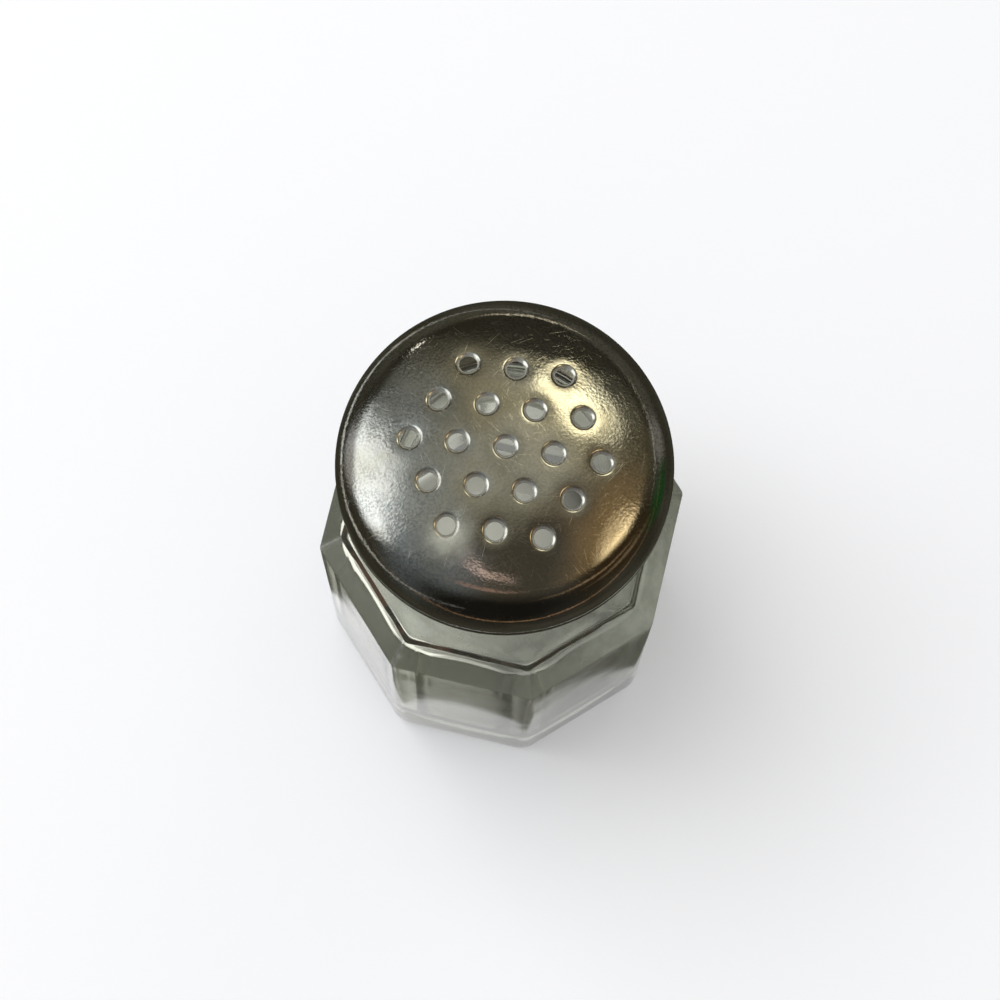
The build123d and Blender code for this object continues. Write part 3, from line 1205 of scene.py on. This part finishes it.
@dataclass
class PerforatedDome:
    """The lid's domed top, in millimetres.

    Attributes:
        hem_z: height of the lowest edge.
        hem_radius: radius of the wall.
        height: lowest edge to crown.
        sheet: thickness of the sheet.
        crown_curve: radius of the crown's arc.
        roll_curve: radius of the rolled shoulder's arc.
        hem_curve: rounding of the hem's outer edge.
        hem_reach: how far the hem is turned in.
        crease_z: height of the crease above the hem.
        crease_height: its height.
        crease_depth: its depth.
        hole: diameter of a hole at the top of its rolled edge.
        spacing: distance between the holes' middles.
        rings: hexagons of holes round the middle one.
        turn: angle of the rows of holes, in degrees.
        hole_roll: width of a hole's rolled edge.
        hole_drop: how far that edge rolls down.
        hole_throat: how far it reaches into the hole.
        hole_margin: distances of two more rings of points outside it.
        sink: how far the sheet sinks round a hole.
        sink_reach: distance from the hole over which it does.
        join: radius where the perforated top meets the strip round it.
        grid: spacing of the points between the holes.
        columns: columns of points round the axis.
        hole_columns: columns of points round a hole.
        ripple: height of the sheet's slow unevenness.
    """

    hem_z: float
    hem_radius: float
    height: float
    sheet: float = 0.45
    crown_curve: float = 38.0
    roll_curve: float = 6.0
    hem_curve: float = 0.55
    hem_reach: float = 1.2
    crease_z: float = 66.1
    crease_height: float = 0.7
    crease_depth: float = 0.2
    hole: float = 2.5
    spacing: float = 5.35
    rings: int = 2
    turn: float = 6.0
    hole_roll: float = 0.44
    hole_drop: float = 0.34
    hole_throat: float = 0.25
    hole_margin: tuple[float, float] = (0.1, 0.26)
    sink: float = 0.06
    sink_reach: float = 0.7
    join: float = 13.4
    grid: float = 0.30
    columns: int = 320
    hole_columns: int = 40
    ripple: float = 0.012

    def __post_init__(self) -> None:
        """Works out where the crown's curve hands over to the roll."""
        self.crown_centre = self.hem_z + self.height - self.crown_curve
        self.lean = math.asin((self.hem_radius - self.roll_curve) / (self.crown_curve - self.roll_curve))
        self.roll_centre = (self.hem_radius - self.roll_curve,
                            self.crown_centre + (self.crown_curve - self.roll_curve) * math.cos(self.lean))

    def side(self, depth: float) -> np.ndarray:
        """The profile this deep below the outside, from the join down to the foot of the wall: the
        crown's arc, the roll's arc, the wall, and a crease that draws in by a squared cosine.

        Args:
            depth: depth below the outside.

        Returns:
            An array of radius and height.
        """
        lean = math.degrees(self.lean)
        start = math.degrees(math.asin(self.join / (self.crown_curve - depth)))
        crown = arc((0, self.crown_centre), self.crown_curve - depth, 90 - start, 90 - lean, 8)
        roll = arc(self.roll_centre, self.roll_curve - depth, 90 - lean, 0, 26)
        s = np.linspace(-1, 1, 11)
        draw = self.crease_depth * np.cos(s * math.pi / 2) ** 2
        crease_z = self.crease_z - s * self.crease_height / 2
        crease = np.stack([self.hem_radius - depth - draw, crease_z], axis=1)
        return np.concatenate([crown, roll[1:], crease])

    def strip(self) -> np.ndarray:
        """The section outside the join: inside skin outwards, round the hem, and back up outside.

        Returns:
            An array of radius and height.
        """
        outside, inside = self.side(0), self.side(self.sheet)
        lip = self.hem_radius - self.sheet - self.hem_reach
        fold_top = self.hem_z + self.sheet
        hem, _ = trace([Corner(*inside[-1]), Corner(self.hem_radius - self.sheet, fold_top, 0.12, 0.2),
                        Corner(lip, fold_top, 0.1, 0.4), Corner(lip, self.hem_z, 0.1, 0.2),
                        Corner(self.hem_radius, self.hem_z, self.hem_curve, 0.4),
                        Corner(*outside[-1], step=0.2)])
        return np.concatenate([inside, hem[1:-1], outside[::-1]])

    def hole_places(self) -> np.ndarray:
        """Middles of the holes, on a hexagonal grid turned with the lid.

        Returns:
            The places from above.
        """
        places = []
        for row in range(-self.rings, self.rings + 1):
            count = 2 * self.rings + 1 - abs(row)
            across = (np.arange(count) - (count - 1) / 2) * self.spacing
            up = row * self.spacing * math.sin(math.pi / 3)
            places.append(np.stack([across, np.full(count, up)], axis=1))
        cos, sin = math.cos(math.radians(self.turn)), math.sin(math.radians(self.turn))
        return np.concatenate(places) @ np.array([[cos, sin], [-sin, cos]])

    def throat(self) -> float:
        """Radius of a hole at its narrowest. It is its size at the top less what the rolled edge takes."""
        return self.hole / 2 - self.hole_throat

    def from_throat(self, plan: np.ndarray) -> np.ndarray:
        """Distance of points from the nearest hole's throat, seen from above."""
        return np.linalg.norm(plan[:, None] - self.hole_places(), axis=2).min(axis=1) - self.throat()

    def net(self) -> np.ndarray:
        """Points of a hexagonal grid that covers the perforated top.

        Returns:
            The points from above.
        """
        count = math.ceil(self.join / self.grid) + 1
        i, j = np.meshgrid(np.arange(-count, count + 1), np.arange(-count, count + 1))
        x, y = (i + 0.5 * (j % 2)) * self.grid, j * self.grid * math.sin(math.pi / 3)
        return np.stack([x, y], axis=-1).reshape(-1, 2)

    def plan(self) -> tuple[np.ndarray, np.ndarray, np.ndarray]:
        """The perforated top from above: the join's circle, rings of points round each hole, and a
        hexagonal grid between them, joined by a Delaunay net without the triangles in the holes.

        Returns:
            The points, the triangles, and the point numbers of each hole's edge.
        """
        holes = self.hole_places()
        rim = even_columns(self.columns)
        circle = self.join * np.stack([np.cos(rim), np.sin(rim)], axis=1)
        share = 1 - np.cos(np.radians(np.linspace(0, 90, 7)))
        offsets = np.concatenate([self.hole_roll * share, self.hole_roll + np.array(self.hole_margin)])
        around = even_columns(self.hole_columns)
        ring = np.stack([np.cos(around), np.sin(around)], axis=1)
        rings = holes[:, None, None] + (self.throat() + offsets)[None, :, None, None] * ring
        net, gap = self.net(), 0.6 * self.grid
        clear = self.from_throat(net) > offsets[-1] + gap
        net = net[clear & (np.linalg.norm(net, axis=1) < self.join - gap)]
        points = np.concatenate([circle, rings.reshape(-1, 2), net])
        made = delaunay_2d_cdt([Vector(p) for p in points], [], [], 0, 1e-7)
        points, faces = np.array(made[0]), np.array(made[2])
        in_hole = self.from_throat(points[faces].mean(axis=1)) < -0.005 * self.throat()
        faces = faces[~in_hole]
        a, b, c = (points[faces[:, k]] for k in range(3))
        area = (b - a)[:, 0] * (c - a)[:, 1] - (b - a)[:, 1] * (c - a)[:, 0]
        faces[area < 0] = faces[area < 0][:, ::-1]
        edges = self.columns + np.arange(len(holes))[:, None] * len(offsets) * self.hole_columns
        return points, faces, edges + np.arange(self.hole_columns)

    def uneven(self, x: np.ndarray, y: np.ndarray) -> np.ndarray:
        """Slight unevenness of the drawn sheet: a sum of six long waves over the plan.

        Args:
            x: places across the plan.
            y: the same the other way.

        Returns:
            The height of the unevenness.
        """
        draw = np.random.default_rng(12)
        total = np.zeros_like(x)
        waves = 6
        for angle, length, phase in zip(draw.uniform(0, math.pi, waves), draw.uniform(5, 12, waves),
                                        draw.uniform(0, 6, waves)):
            total += np.cos((x * math.cos(angle) + y * math.sin(angle)) * 2 * math.pi / length + phase)
        return self.ripple * total / math.sqrt(waves)

    def skin(self, plan: np.ndarray, depth: float) -> np.ndarray:
        """Lifts the plan to a skin of the sheet: crown_centre + sqrt(R² - r²), with R less the depth.
        The outside dips into each hole by hole_drop * (1 - x / hole_roll)^1.5, where x is the distance
        from the throat, and sinks a little round it.

        Args:
            plan: points from above.
            depth: depth below the outside.

        Returns:
            The points in space.
        """
        square = (plan**2).sum(axis=1)
        z = self.crown_centre + np.sqrt((self.crown_curve - depth) ** 2 - square)
        off = self.from_throat(plan)
        inward = np.clip(1 - off / self.hole_roll, 0, 1)
        roll = self.hole_drop * inward**1.5 if depth == 0 else 0
        z = z - roll - self.sink * bell(np.maximum(off, 0), self.sink_reach) - self.sink
        easing = smooth_step((self.join - np.sqrt(square)) / 2)
        return np.column_stack([plan, z + self.sink + self.uneven(plan[:, 0], plan[:, 1]) * easing])

    def build(self) -> bpy.types.Object:
        """Outside and inside skins of the perforated top, the hole walls, and the strip round them.

        Returns:
            The piece.
        """
        plan, faces, edges = self.plan()
        outer, inner = self.skin(plan, 0), self.skin(plan, self.sheet)
        count = len(plan)
        strip = self.strip()[1:-1]
        theta = even_columns(self.columns)[None]
        ring = spin(strip[:, :1], strip[:, 1:], theta)
        rows = np.arange(len(ring)).reshape(len(strip), self.columns) + 2 * count
        join = np.arange(self.columns)
        index = np.concatenate([join[None] + count, rows, join[None]])
        along = np.roll(edges, -1, axis=1)
        walls = np.stack([edges, along, along + count, edges + count], axis=-1).reshape(-1, 4)
        dome = make_piece("perforated_steel_dome", np.concatenate([outer, inner, ring]),
                          [faces, faces[:, ::-1] + count, walls, band_faces(index)], sharp=50)
        rubbed = smooth_step(1.35 * (1 - self.from_throat(plan) / self.hole_roll))
        mark = np.concatenate([rubbed, rubbed, np.zeros(len(ring))])
        mark_points(dome, EDGE_MARK, mark)
        return dome


@dataclass
class ThreadedCollar:
    """The lid's skirt with its rolled thread, folded ledge and flange, in millimetres.

    Attributes:
        foot_z: height of the skirt's lower edge.
        top_z: height of the flange's upper face.
        flange: radius of the flange.
        inside: radius inside the skirt.
        sheet: thickness of the sheet.
        ledge: radius of the ledge's inner edge.
        bead: radius of the rolled lower edge.
        columns: columns of points round the axis.
        thread: the thread, pressed inwards.
    """

    foot_z: float
    top_z: float
    flange: float
    inside: float = 15.2
    sheet: float = 0.4
    ledge: float = 12.8
    bead: float = 0.45
    columns: int = 256
    thread: Thread = Thread(PITCH, turns=1.35, foot=56.613, angle=0.0, depth=0.66, half_width=1.2)

    def section(self) -> np.ndarray:
        """The bent strip, as a loop: up outside, out and back along the flange, under the ledge,
        down inside, and round the rolled edge.

        Returns:
            An array of radius and height.
        """
        outside = self.inside + self.sheet
        flange_z, ledge_z = self.top_z - self.sheet, self.top_z - 2 * self.sheet
        centre = (self.inside + self.bead, self.foot_z + self.bead)
        meet = math.degrees(math.acos((outside - centre[0]) / self.bead))
        roll = arc(centre, self.bead, 180, 360 + meet, 22)
        sheet, _ = trace([Corner(*roll[-1]), Corner(outside, flange_z, 0.25, 0.24),
                          Corner(self.flange, flange_z, 0.08, 0.5),
                          Corner(self.flange, self.top_z, 0.12, 0.2),
                          Corner(self.ledge, self.top_z, 0.36, 0.5), Corner(self.ledge, ledge_z, 0.36, 0.2),
                          Corner(self.inside, ledge_z, 0.2, 0.4), Corner(*roll[0], step=0.24)], 5)
        return np.concatenate([roll[:-1], sheet[:-1]])

    def build(self) -> bpy.types.Object:
        """The loop spun round, with both faces of the skirt pressed inwards along the thread.

        Returns:
            The piece.
        """
        section = self.section()
        theta = even_columns(self.columns)[None]
        radius, z = section[:, :1], section[:, 1:]
        skirt = smooth_step((z - self.foot_z - 2 * self.bead) / 0.4 + 0.5) * (z < self.top_z - 3 * self.sheet)
        skirt = skirt * (np.abs(radius - self.inside - self.sheet / 2) < self.sheet)
        radius = radius - self.thread.relief(theta, z) * skirt
        index = np.arange(radius.size).reshape(radius.shape)
        index = np.concatenate([index, index[:1]])
        return make_piece("threaded_steel_collar", spin(radius, z, theta), [band_faces(index)])


@dataclass
class SealingRing:
    """The flat plastic ring on the glass lip, in millimetres.

    Attributes:
        foot_z: height of its lower face.
        top_z: height of its upper face.
        outside: outer radius.
        inside: inner radius.
        edge: rounding of its edges.
        columns: columns of points round the axis.
    """

    foot_z: float
    top_z: float
    outside: float
    inside: float = 12.6
    edge: float = 0.15
    columns: int = 192

    def build(self) -> bpy.types.Object:
        """A rectangle with rounded corners, spun round.

        Returns:
            The piece.
        """
        middle = Corner((self.inside + self.outside) / 2, self.foot_z)
        corners = [middle,
                   Corner(self.outside, self.foot_z, self.edge, 0.4),
                   Corner(self.outside, self.top_z, self.edge, 0.3),
                   Corner(self.inside, self.top_z, self.edge, 0.4),
                   Corner(self.inside, self.foot_z, self.edge, 0.3),
                   middle]
        section = trace(corners, 4)[0][:-1]
        index = np.arange(len(section) * self.columns).reshape(len(section), self.columns)
        points = spin(section[:, :1], section[:, 1:], even_columns(self.columns)[None])
        return make_piece("lip_sealing_ring", points, [band_faces(np.concatenate([index, index[:1]]))])


# ------------------------------------------------------------------ studio


def direction(azimuth: float, elevation: float) -> Vector:
    """The way to a place round the object: azimuth 0 is the front, 90 the right, in degrees."""
    a, e = math.radians(azimuth), math.radians(elevation)
    return Vector((math.sin(a) * math.cos(e), -math.cos(a) * math.cos(e), math.sin(e)))


@dataclass(frozen=True)
class Softbox:
    """A square lamp that faces the lid. It only lights: metal and glass don't show it.

    Attributes:
        azimuth: where it stands, in degrees from the front towards the right.
        elevation: how high, in degrees.
        spread: its width as an angle seen from the lid, in degrees.
        radiance: its brightness, where 1 is white.
        colour: its colour.
        distance: from the lid, in metres.
    """

    azimuth: float
    elevation: float
    spread: float
    radiance: float
    colour: Colour
    distance: float = 0.7

    def build(self, target: Vector) -> None:
        """An area lamp whose power gives it that radiance: power = pi * area * radiance.

        Args:
            target: the point that it faces, in metres.
        """
        lamp = bpy.data.lights.new("overhead", "AREA")
        lamp.shape = "SQUARE"
        lamp.size = 2 * self.distance * math.tan(math.radians(self.spread / 2))
        lamp.energy = math.pi * lamp.size**2 * self.radiance
        lamp.color = self.colour
        holder = bpy.data.objects.new("overhead", lamp)
        way = direction(self.azimuth, self.elevation)
        holder.location = target + way * self.distance
        holder.rotation_euler = way.to_track_quat("Z", "Y").to_euler()
        holder.visible_glossy = holder.visible_transmission = False
        bpy.context.scene.collection.objects.link(holder)


@dataclass(frozen=True)
class Patch:
    """A soft-edged oval of colour in the room round the object.

    Attributes:
        azimuth: its middle, in degrees from the front towards the right.
        elevation: its middle, in degrees above the horizon.
        half_width: half its width, in degrees.
        half_height: half its height, in degrees.
        colour: its colour.
        strength: how much it covers what lies behind it, from 0 to 1.
        softness: width of its edge, as a share of its size.
        tilt: how far its width leans up from the level, in degrees.
    """

    azimuth: float
    elevation: float
    half_width: float
    half_height: float
    colour: Colour
    strength: float = 1.0
    softness: float = 0.5
    tilt: float = 0.0

    def cover(self, tree: Tree, way: Socket) -> Value:
        """1 well inside the oval and 0 outside: it falls with sqrt((a / w)² + (b / h)²), where a and b
        are how far a direction reaches along the oval's width and height.

        Args:
            tree: the tree that shows the room.
            way: directions of length 1.

        Returns:
            The share of the oval's colour.
        """
        a, e, t = (math.radians(angle) for angle in (self.azimuth, self.elevation, self.tilt))
        level = Vector((math.cos(a), math.sin(a), 0))
        up = Vector((-math.sin(a) * math.sin(e), math.cos(a) * math.sin(e), math.cos(e)))
        along, across = level * math.cos(t) + up * math.sin(t), up * math.cos(t) - level * math.sin(t)
        x = tree.dot(way, along / math.sin(math.radians(self.half_width)))
        y = tree.dot(way, across / math.sin(math.radians(self.half_height)))
        out = (x * x + y * y) ** 0.5
        facing = tree.dot(way, direction(self.azimuth, self.elevation)).step(0.0, 0.1)
        return out.step(1 + self.softness, 1 - self.softness) * facing * self.strength


@dataclass(frozen=True)
class SeenFloor:
    """How bright the camera, metal and glass find the floor. Glow is light added to what the lamp gives.

    Attributes:
        colour: its colour to the camera and metal.
        glow: its glow to them.
        glass_shaded_colour: its colour through glass, darker than its own: painted shade.
        glass_glow: its least and greatest glow through glass.
        glow_colour: colour of the glow through glass.
        across: how that glow changes across the floor.
        edge_glow: more of it beyond one side of the base.
        edge: where that begins.
        heel_shade: how much darker the floor is through the heel at the other side.
        heel: where that begins.
        gathered: glow of the light that the jar gathers under it.
        gathered_at: its middle, in millimetres.
        gathered_reach: distances from there at which it begins and is full.
    """

    colour: Colour = (0.75, 0.75, 0.76)
    glow: float = 0.26
    glass_shaded_colour: Colour = (0.50, 0.50, 0.46)
    glass_glow: tuple[float, float] = (0.05, 0.30)
    glow_colour: Colour = (1.0, 0.99, 0.87)
    across: Slope = Slope((0.95, 0.3, 0.0), 13.0, -13.0)
    edge_glow: float = 0.50
    edge: Slope = Slope((1.0, 0.0, 0.0), -18.5, -22.0)
    heel_shade: float = 0.45
    heel: Slope = Slope((0.9, -0.45, 0.0), 10.0, 17.0)
    gathered: float = 0.20
    gathered_at: tuple[float, float, float] = (-1, 8, 0)
    gathered_reach: tuple[float, float] = (14, 4)

    def shader(self, tree: Tree, through: Value) -> Socket:
        """The floor as it is seen.

        Args:
            tree: the floor's tree.
            through: 1 for a ray that comes through glass and 0 for the rest.

        Returns:
            The shader's output.
        """
        place = tree.millimetres()
        # the floor seen through glass is painted darker, and darker still through the heel
        shaded = tree.mixed(self.heel.share(tree, place) * self.heel_shade, self.glass_shaded_colour, (0, 0, 0))
        lit = tree.add("ShaderNodeBsdfDiffuse", None, {"Color": tree.mixed(through, self.colour, shaded)})
        glow = self.across.share(tree, place).between(*self.glass_glow)
        glow = glow + self.gathered * tree.distance(place, self.gathered_at).step(*self.gathered_reach)
        glow = glow + self.edge_glow * self.edge.share(tree, place)
        added = tree.add("ShaderNodeEmission", None, {
            "Color": tree.mixed(through, (1, 1, 1), self.glow_colour),
            "Strength": self.glow * (1 - through) + glow * through})
        return tree.add("ShaderNodeAddShader", None, {0: lit.outputs[0], 1: added.outputs[0]}).outputs[0]


@dataclass
class Studio:
    """Floor, room, lamp and camera.

    Attributes:
        look_at: point at the picture's middle, in metres. The lid lies at its height.
        camera_distance: distance of the camera from there, in metres.
        camera_azimuth: where it stands, in degrees from the front towards the right.
        camera_elevation: how high, in degrees.
        camera_roll: how far it is rolled, in degrees.
        lens: its focal length, in millimetres.
        lamp: the one lamp, high at the left.
        floor_size: side of the floor, in metres.
        floor_colour: the floor's colour where it only passes light on.
        seen_floor: the floor as it is seen.
        card_inside: inner radius of the card on the floor, in metres.
        card_outside: its outer radius.
        room_top: the room's colour high up.
        room_low: its colour low down.
        room_shade: colour of its darker mottling.
        room_rise: heights of a direction at which the first turns into the second.
        room_stir: how far the edges of the patches waver.
        room_light: colour of the light that it gives.
        room_through: its colour through glass.
    """

    look_at: tuple[float, float, float] = (0.0003, -0.0034, 0.0648)
    camera_distance: float = 0.3934
    camera_azimuth: float = 10.54
    camera_elevation: float = 76.53
    camera_roll: float = 2.91
    lens: float = 126.0
    lamp: Softbox = Softbox(azimuth=253, elevation=68, spread=34, radiance=5.6, colour=(0.97, 0.985, 1.0))
    floor_size: float = 6.0
    floor_colour: Colour = (0.80, 0.80, 0.79)
    seen_floor: SeenFloor = SeenFloor()
    card_inside: float = 0.024
    card_outside: float = 4.2
    room_top: Colour = (0.35, 0.34, 0.265)
    room_low: Colour = (0.040, 0.038, 0.027)
    room_shade: Colour = (0.09, 0.086, 0.064)
    room_rise: tuple[float, float] = (0.42, 0.93)
    room_stir: float = 0.10
    room_light: Colour = (0.42, 0.42, 0.43)
    room_through: Colour = (0.72, 0.72, 0.71)

    def build(self) -> None:
        """Sets everything up."""
        self.build_floor()
        self.build_card()
        self.build_room()
        self.lamp.build(Vector((0, 0, self.look_at[2])))
        self.build_camera()
        bpy.context.scene.view_settings.view_transform = "Standard"
        cycles = bpy.context.scene.cycles
        cycles.max_bounces = 24
        cycles.transmission_bounces = 20
        cycles.transparent_max_bounces = 16
        cycles.glossy_bounces = 10

    def patches(self) -> list[Patch]:
        """What the metal mirrors, from the broad to the small.

        Returns:
            The patches.
        """
        return [Patch(212, 50, 30, 14, (0.095, 0.093, 0.072), 0.8, 0.7),
                Patch(190, 28, 50, 14, (0.030, 0.028, 0.019), 0.9),
                Patch(160, 60, 32, 13, (0.46, 0.43, 0.31), 0.85, 0.8),
                Patch(112, 38, 22, 18, (0.085, 0.072, 0.040), 0.9, 0.6),
                Patch(66, 54, 28, 19, (0.105, 0.080, 0.048), 0.95),
                Patch(22, 52, 40, 27, (0.074, 0.067, 0.052), 0.95, 0.35),
                Patch(288, 54, 30, 18, (0.34, 0.38, 0.40), 0.8, 0.8),
                Patch(331, 22, 22, 40, (0.15, 0.17, 0.18), 0.9, 0.45),
                Patch(279, 27, 23, 24, (1.48, 1.56, 1.57), 1.0, 0.34),
                Patch(270, 0, 12, 14, (0.45, 0.45, 0.45), 0.9, 0.6),
                Patch(157, 50, 12, 7.5, (2.9, 2.7, 1.85), 1.0, 0.8),
                Patch(83, 48, 19, 11, (0.29, 0.195, 0.09), 0.9, 0.8),
                Patch(82, 39, 9, 8, (2.7, 2.15, 1.25), 1.0, 0.8, -14),
                Patch(72, 14, 26, 26, (0.042, 0.026, 0.011), 0.95),
                Patch(104, -6, 13, 13, (0.010, 0.055, 0.012), 0.9),
                Patch(150, 2, 36, 14, (0.085, 0.082, 0.062), 0.8),
                Patch(124, 2, 7, 16, (0.20, 0.19, 0.17), 0.8),
                Patch(205, -4, 30, 16, (0.085, 0.083, 0.062), 0.8),
                Patch(10, 4, 42, 32, (0.013, 0.012, 0.010)),
                Patch(3, 60, 8, 1.2, (0.80, 0.62, 0.55), 1.0, 0.7, -12),
                Patch(4, 51, 11, 2.2, (0.36, 0.24, 0.20), 1.0, 0.7, -10),
                Patch(60, 20, 18, 2.2, (0.34, 0.24, 0.14), 0.8, 0.9, -16),
                Patch(74, 5, 14, 2.4, (0.24, 0.18, 0.11), 0.8, 0.9, -10),
                Patch(25, -22, 55, 1.4, (0.30, 0.18, 0.10), 0.9, 0.6),
                Patch(128, 14, 20, 1.5, (0.36, 0.34, 0.28), 0.8, 0.6),
                Patch(184, 10, 14, 1.3, (1.1, 1.0, 0.75), 0.9, 0.6),
                Patch(268, -26, 50, 2.4, (0.80, 0.82, 0.78), 0.9, 0.6),
                Patch(221, 23, 2.0, 2.0, (3.0, 2.9, 2.6))]

    def room_colour(self, tree: Tree, way: Socket) -> Socket:
        """Colour of the room in a direction: dim low down and olive above, mottled a little, with the
        patches laid over it in their order. Noise stirs the direction, so that their edges waver.

        Args:
            tree: the tree that shows it.
            way: directions of length 1.

        Returns:
            The colour in each direction.
        """
        rise = tree.dot(way, (0, 0, 1)).step(*self.room_rise)
        stir = tree.add("ShaderNodeTexNoise", None, {"Vector": way, "Scale": 5.0, "Detail": 2.0})
        moved = tree.moved(stir.outputs["Color"], (-0.5,) * 3)
        way = tree.moved(way, tree.scaled(moved, (self.room_stir,) * 3))
        colour = tree.mixed(rise, self.room_low, self.room_top)
        mottled = Mottle(3.2, 0.4, 0.7, 3.0, 2.0).share(tree, way)
        colour = tree.mixed(mottled * 0.35, colour, self.room_shade)
        for patch in self.patches():
            colour = tree.mixed(patch.cover(tree, way), colour, patch.colour)
        return colour

    def build_floor(self) -> None:
        """A pale floor. Rays that come straight from the eye, a mirror or glass find it as SeenFloor says."""
        half = self.floor_size / 2
        corners = np.array([[-half, -half, 0], [half, -half, 0], [half, half, 0], [-half, half, 0]]) / MM
        floor = make_piece("floor", corners, [np.array([[0, 1, 2, 3]])])
        material = bpy.data.materials.new("pale_floor")
        tree = Tree(material)
        plain = tree.add("ShaderNodeBsdfDiffuse", None, {"Color": (*self.floor_colour, 1)})
        light = tree.add("ShaderNodeLightPath")
        first = 1 - (Value(tree, light.outputs["Diffuse Depth"]) & 1)
        through = Value(tree, light.outputs["Is Transmission Ray"])
        seen = Value(tree, light.outputs["Is Camera Ray"]) | Value(tree, light.outputs["Is Glossy Ray"])
        seen = (seen | through) * first
        both = tree.add("ShaderNodeMixShader", None, {
            0: seen, 1: plain.outputs[0], 2: self.seen_floor.shader(tree, through)})
        tree.add("ShaderNodeOutputMaterial", None, {"Surface": both.outputs[0]})
        floor.data.materials.append(material)

    def build_card(self) -> None:
        """A ring-shaped card on the floor that carries the room on below the horizon. Only metal shows
        it: its colour is the room's in the direction from the lid."""
        theta = even_columns(96)[None]
        radius = np.array([[self.card_inside], [self.card_outside]]) / MM
        index = np.arange(radius.size * theta.size).reshape(radius.size, theta.size)
        card = make_piece("dim_card", spin(radius, np.full_like(radius, 0.2), theta), [band_faces(index)])
        material = bpy.data.materials.new("dim_card")
        tree = Tree(material)
        from_lid = tree.moved(tree.millimetres(), (0, 0, -self.look_at[2] / MM))
        way = tree.add("ShaderNodeVectorMath", {"operation": "NORMALIZE"}, {0: from_lid})
        colour = self.room_colour(tree, way.outputs[0])
        glow = tree.add("ShaderNodeEmission", None, {"Color": colour, "Strength": 1.0})
        tree.add("ShaderNodeOutputMaterial", None, {"Surface": glow.outputs[0]})
        card.data.materials.append(material)
        card.visible_camera = card.visible_diffuse = card.visible_shadow = card.visible_transmission = False

    def build_room(self) -> None:
        """The room that the metal mirrors. The camera sees plain white instead, and glass a pale tone."""
        world = bpy.data.worlds.new("room")
        bpy.context.scene.world = world
        tree = Tree(world)
        way = tree.add("ShaderNodeTexCoord").outputs["Generated"]
        light = tree.add("ShaderNodeLightPath")
        colour = self.room_colour(tree, way)
        colour = tree.mixed(Value(tree, light.outputs["Is Transmission Ray"]), colour, self.room_through)
        colour = tree.mixed(Value(tree, light.outputs["Diffuse Depth"]) & 1, colour, self.room_light)
        colour = tree.mixed(Value(tree, light.outputs["Is Camera Ray"]), colour, (1, 1, 1))
        shade = tree.add("ShaderNodeBackground", None, {"Color": colour, "Strength": 1.0})
        tree.add("ShaderNodeOutputWorld", None, {"Surface": shade.outputs[0]})

    def build_camera(self) -> None:
        """A long lens high over the front, rolled a little."""
        camera = bpy.data.cameras.new("camera")
        camera.lens = self.lens
        camera.clip_start, camera.clip_end = 0.01, 20
        holder = bpy.data.objects.new("camera", camera)
        bpy.context.scene.collection.objects.link(holder)
        back = direction(self.camera_azimuth, self.camera_elevation)
        right = Vector((0, 0, 1)).cross(back).normalized()
        up = back.cross(right)
        cos, sin = math.cos(math.radians(self.camera_roll)), math.sin(math.radians(self.camera_roll))
        turn = Matrix((right * cos + up * sin, up * cos - right * sin, back)).transposed()
        place = Vector(self.look_at) + back * self.camera_distance
        holder.matrix_world = Matrix.Translation(place) @ turn.to_4x4()
        bpy.context.scene.camera = holder


# ------------------------------------------------------------------ the whole


def place_piece(piece: bpy.types.Object, material: bpy.types.Material, node: str, body: Body) -> None:
    """Dresses a piece and lets it stand for its node and move with its body.

    Args:
        piece: the finished mesh.
        material: its material.
        node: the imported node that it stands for.
        body: the body that it moves with.
    """
    piece.data.materials.append(material)
    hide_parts(node)
    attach(piece, body.value)
    log.info("%s: %d faces, stands for %s", piece.name, len(piece.data.polygons), node)


def main() -> None:
    """Builds the jar, the lid and the studio."""
    logging.basicConfig(level=logging.INFO, format="%(name)s: %(message)s")
    _, jar_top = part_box("glass_jar")
    jar = PressedJar(height=jar_top.z / MM, widest_flat=jar_top.x / MM)
    place_piece(jar.build(), GlassFinish("pressed_glass").material(), "glass_jar", Body.JAR)

    low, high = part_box("sealing_ring")
    ring = SealingRing(foot_z=low.z / MM, top_z=high.z / MM, outside=high.x / MM)
    milky = PlasticFinish("milky_plastic", (0.78, 0.77, 0.70), (0.66, 0.62, 0.50))
    place_piece(ring.build(), milky.material(), "sealing_ring", Body.RING)

    low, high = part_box("threaded_collar")
    collar = ThreadedCollar(foot_z=low.z / MM, top_z=high.z / MM, flange=high.x / MM)
    rolled = SteelFinish("rolled_steel", (0.66, 0.65, 0.62), (0.50, 0.46, 0.38),
                         roughness=0.2, scratch=5, dent=5)
    place_piece(collar.build(), rolled.material(), "threaded_collar", Body.LID)

    low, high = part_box("perforated_dome")
    dome = PerforatedDome(hem_z=low.z / MM, hem_radius=high.x / MM, height=(high.z - low.z) / MM)
    polished = SteelFinish("worn_polished_steel", (0.66, 0.645, 0.61), (0.52, 0.48, 0.39),
                           deposit=Deposit((-4.0, -10.9, 74.3), 3.1))
    place_piece(dome.build(), polished.material(), "perforated_dome", Body.LID)

    Studio().build()


if __name__ == "__main__":
    main()
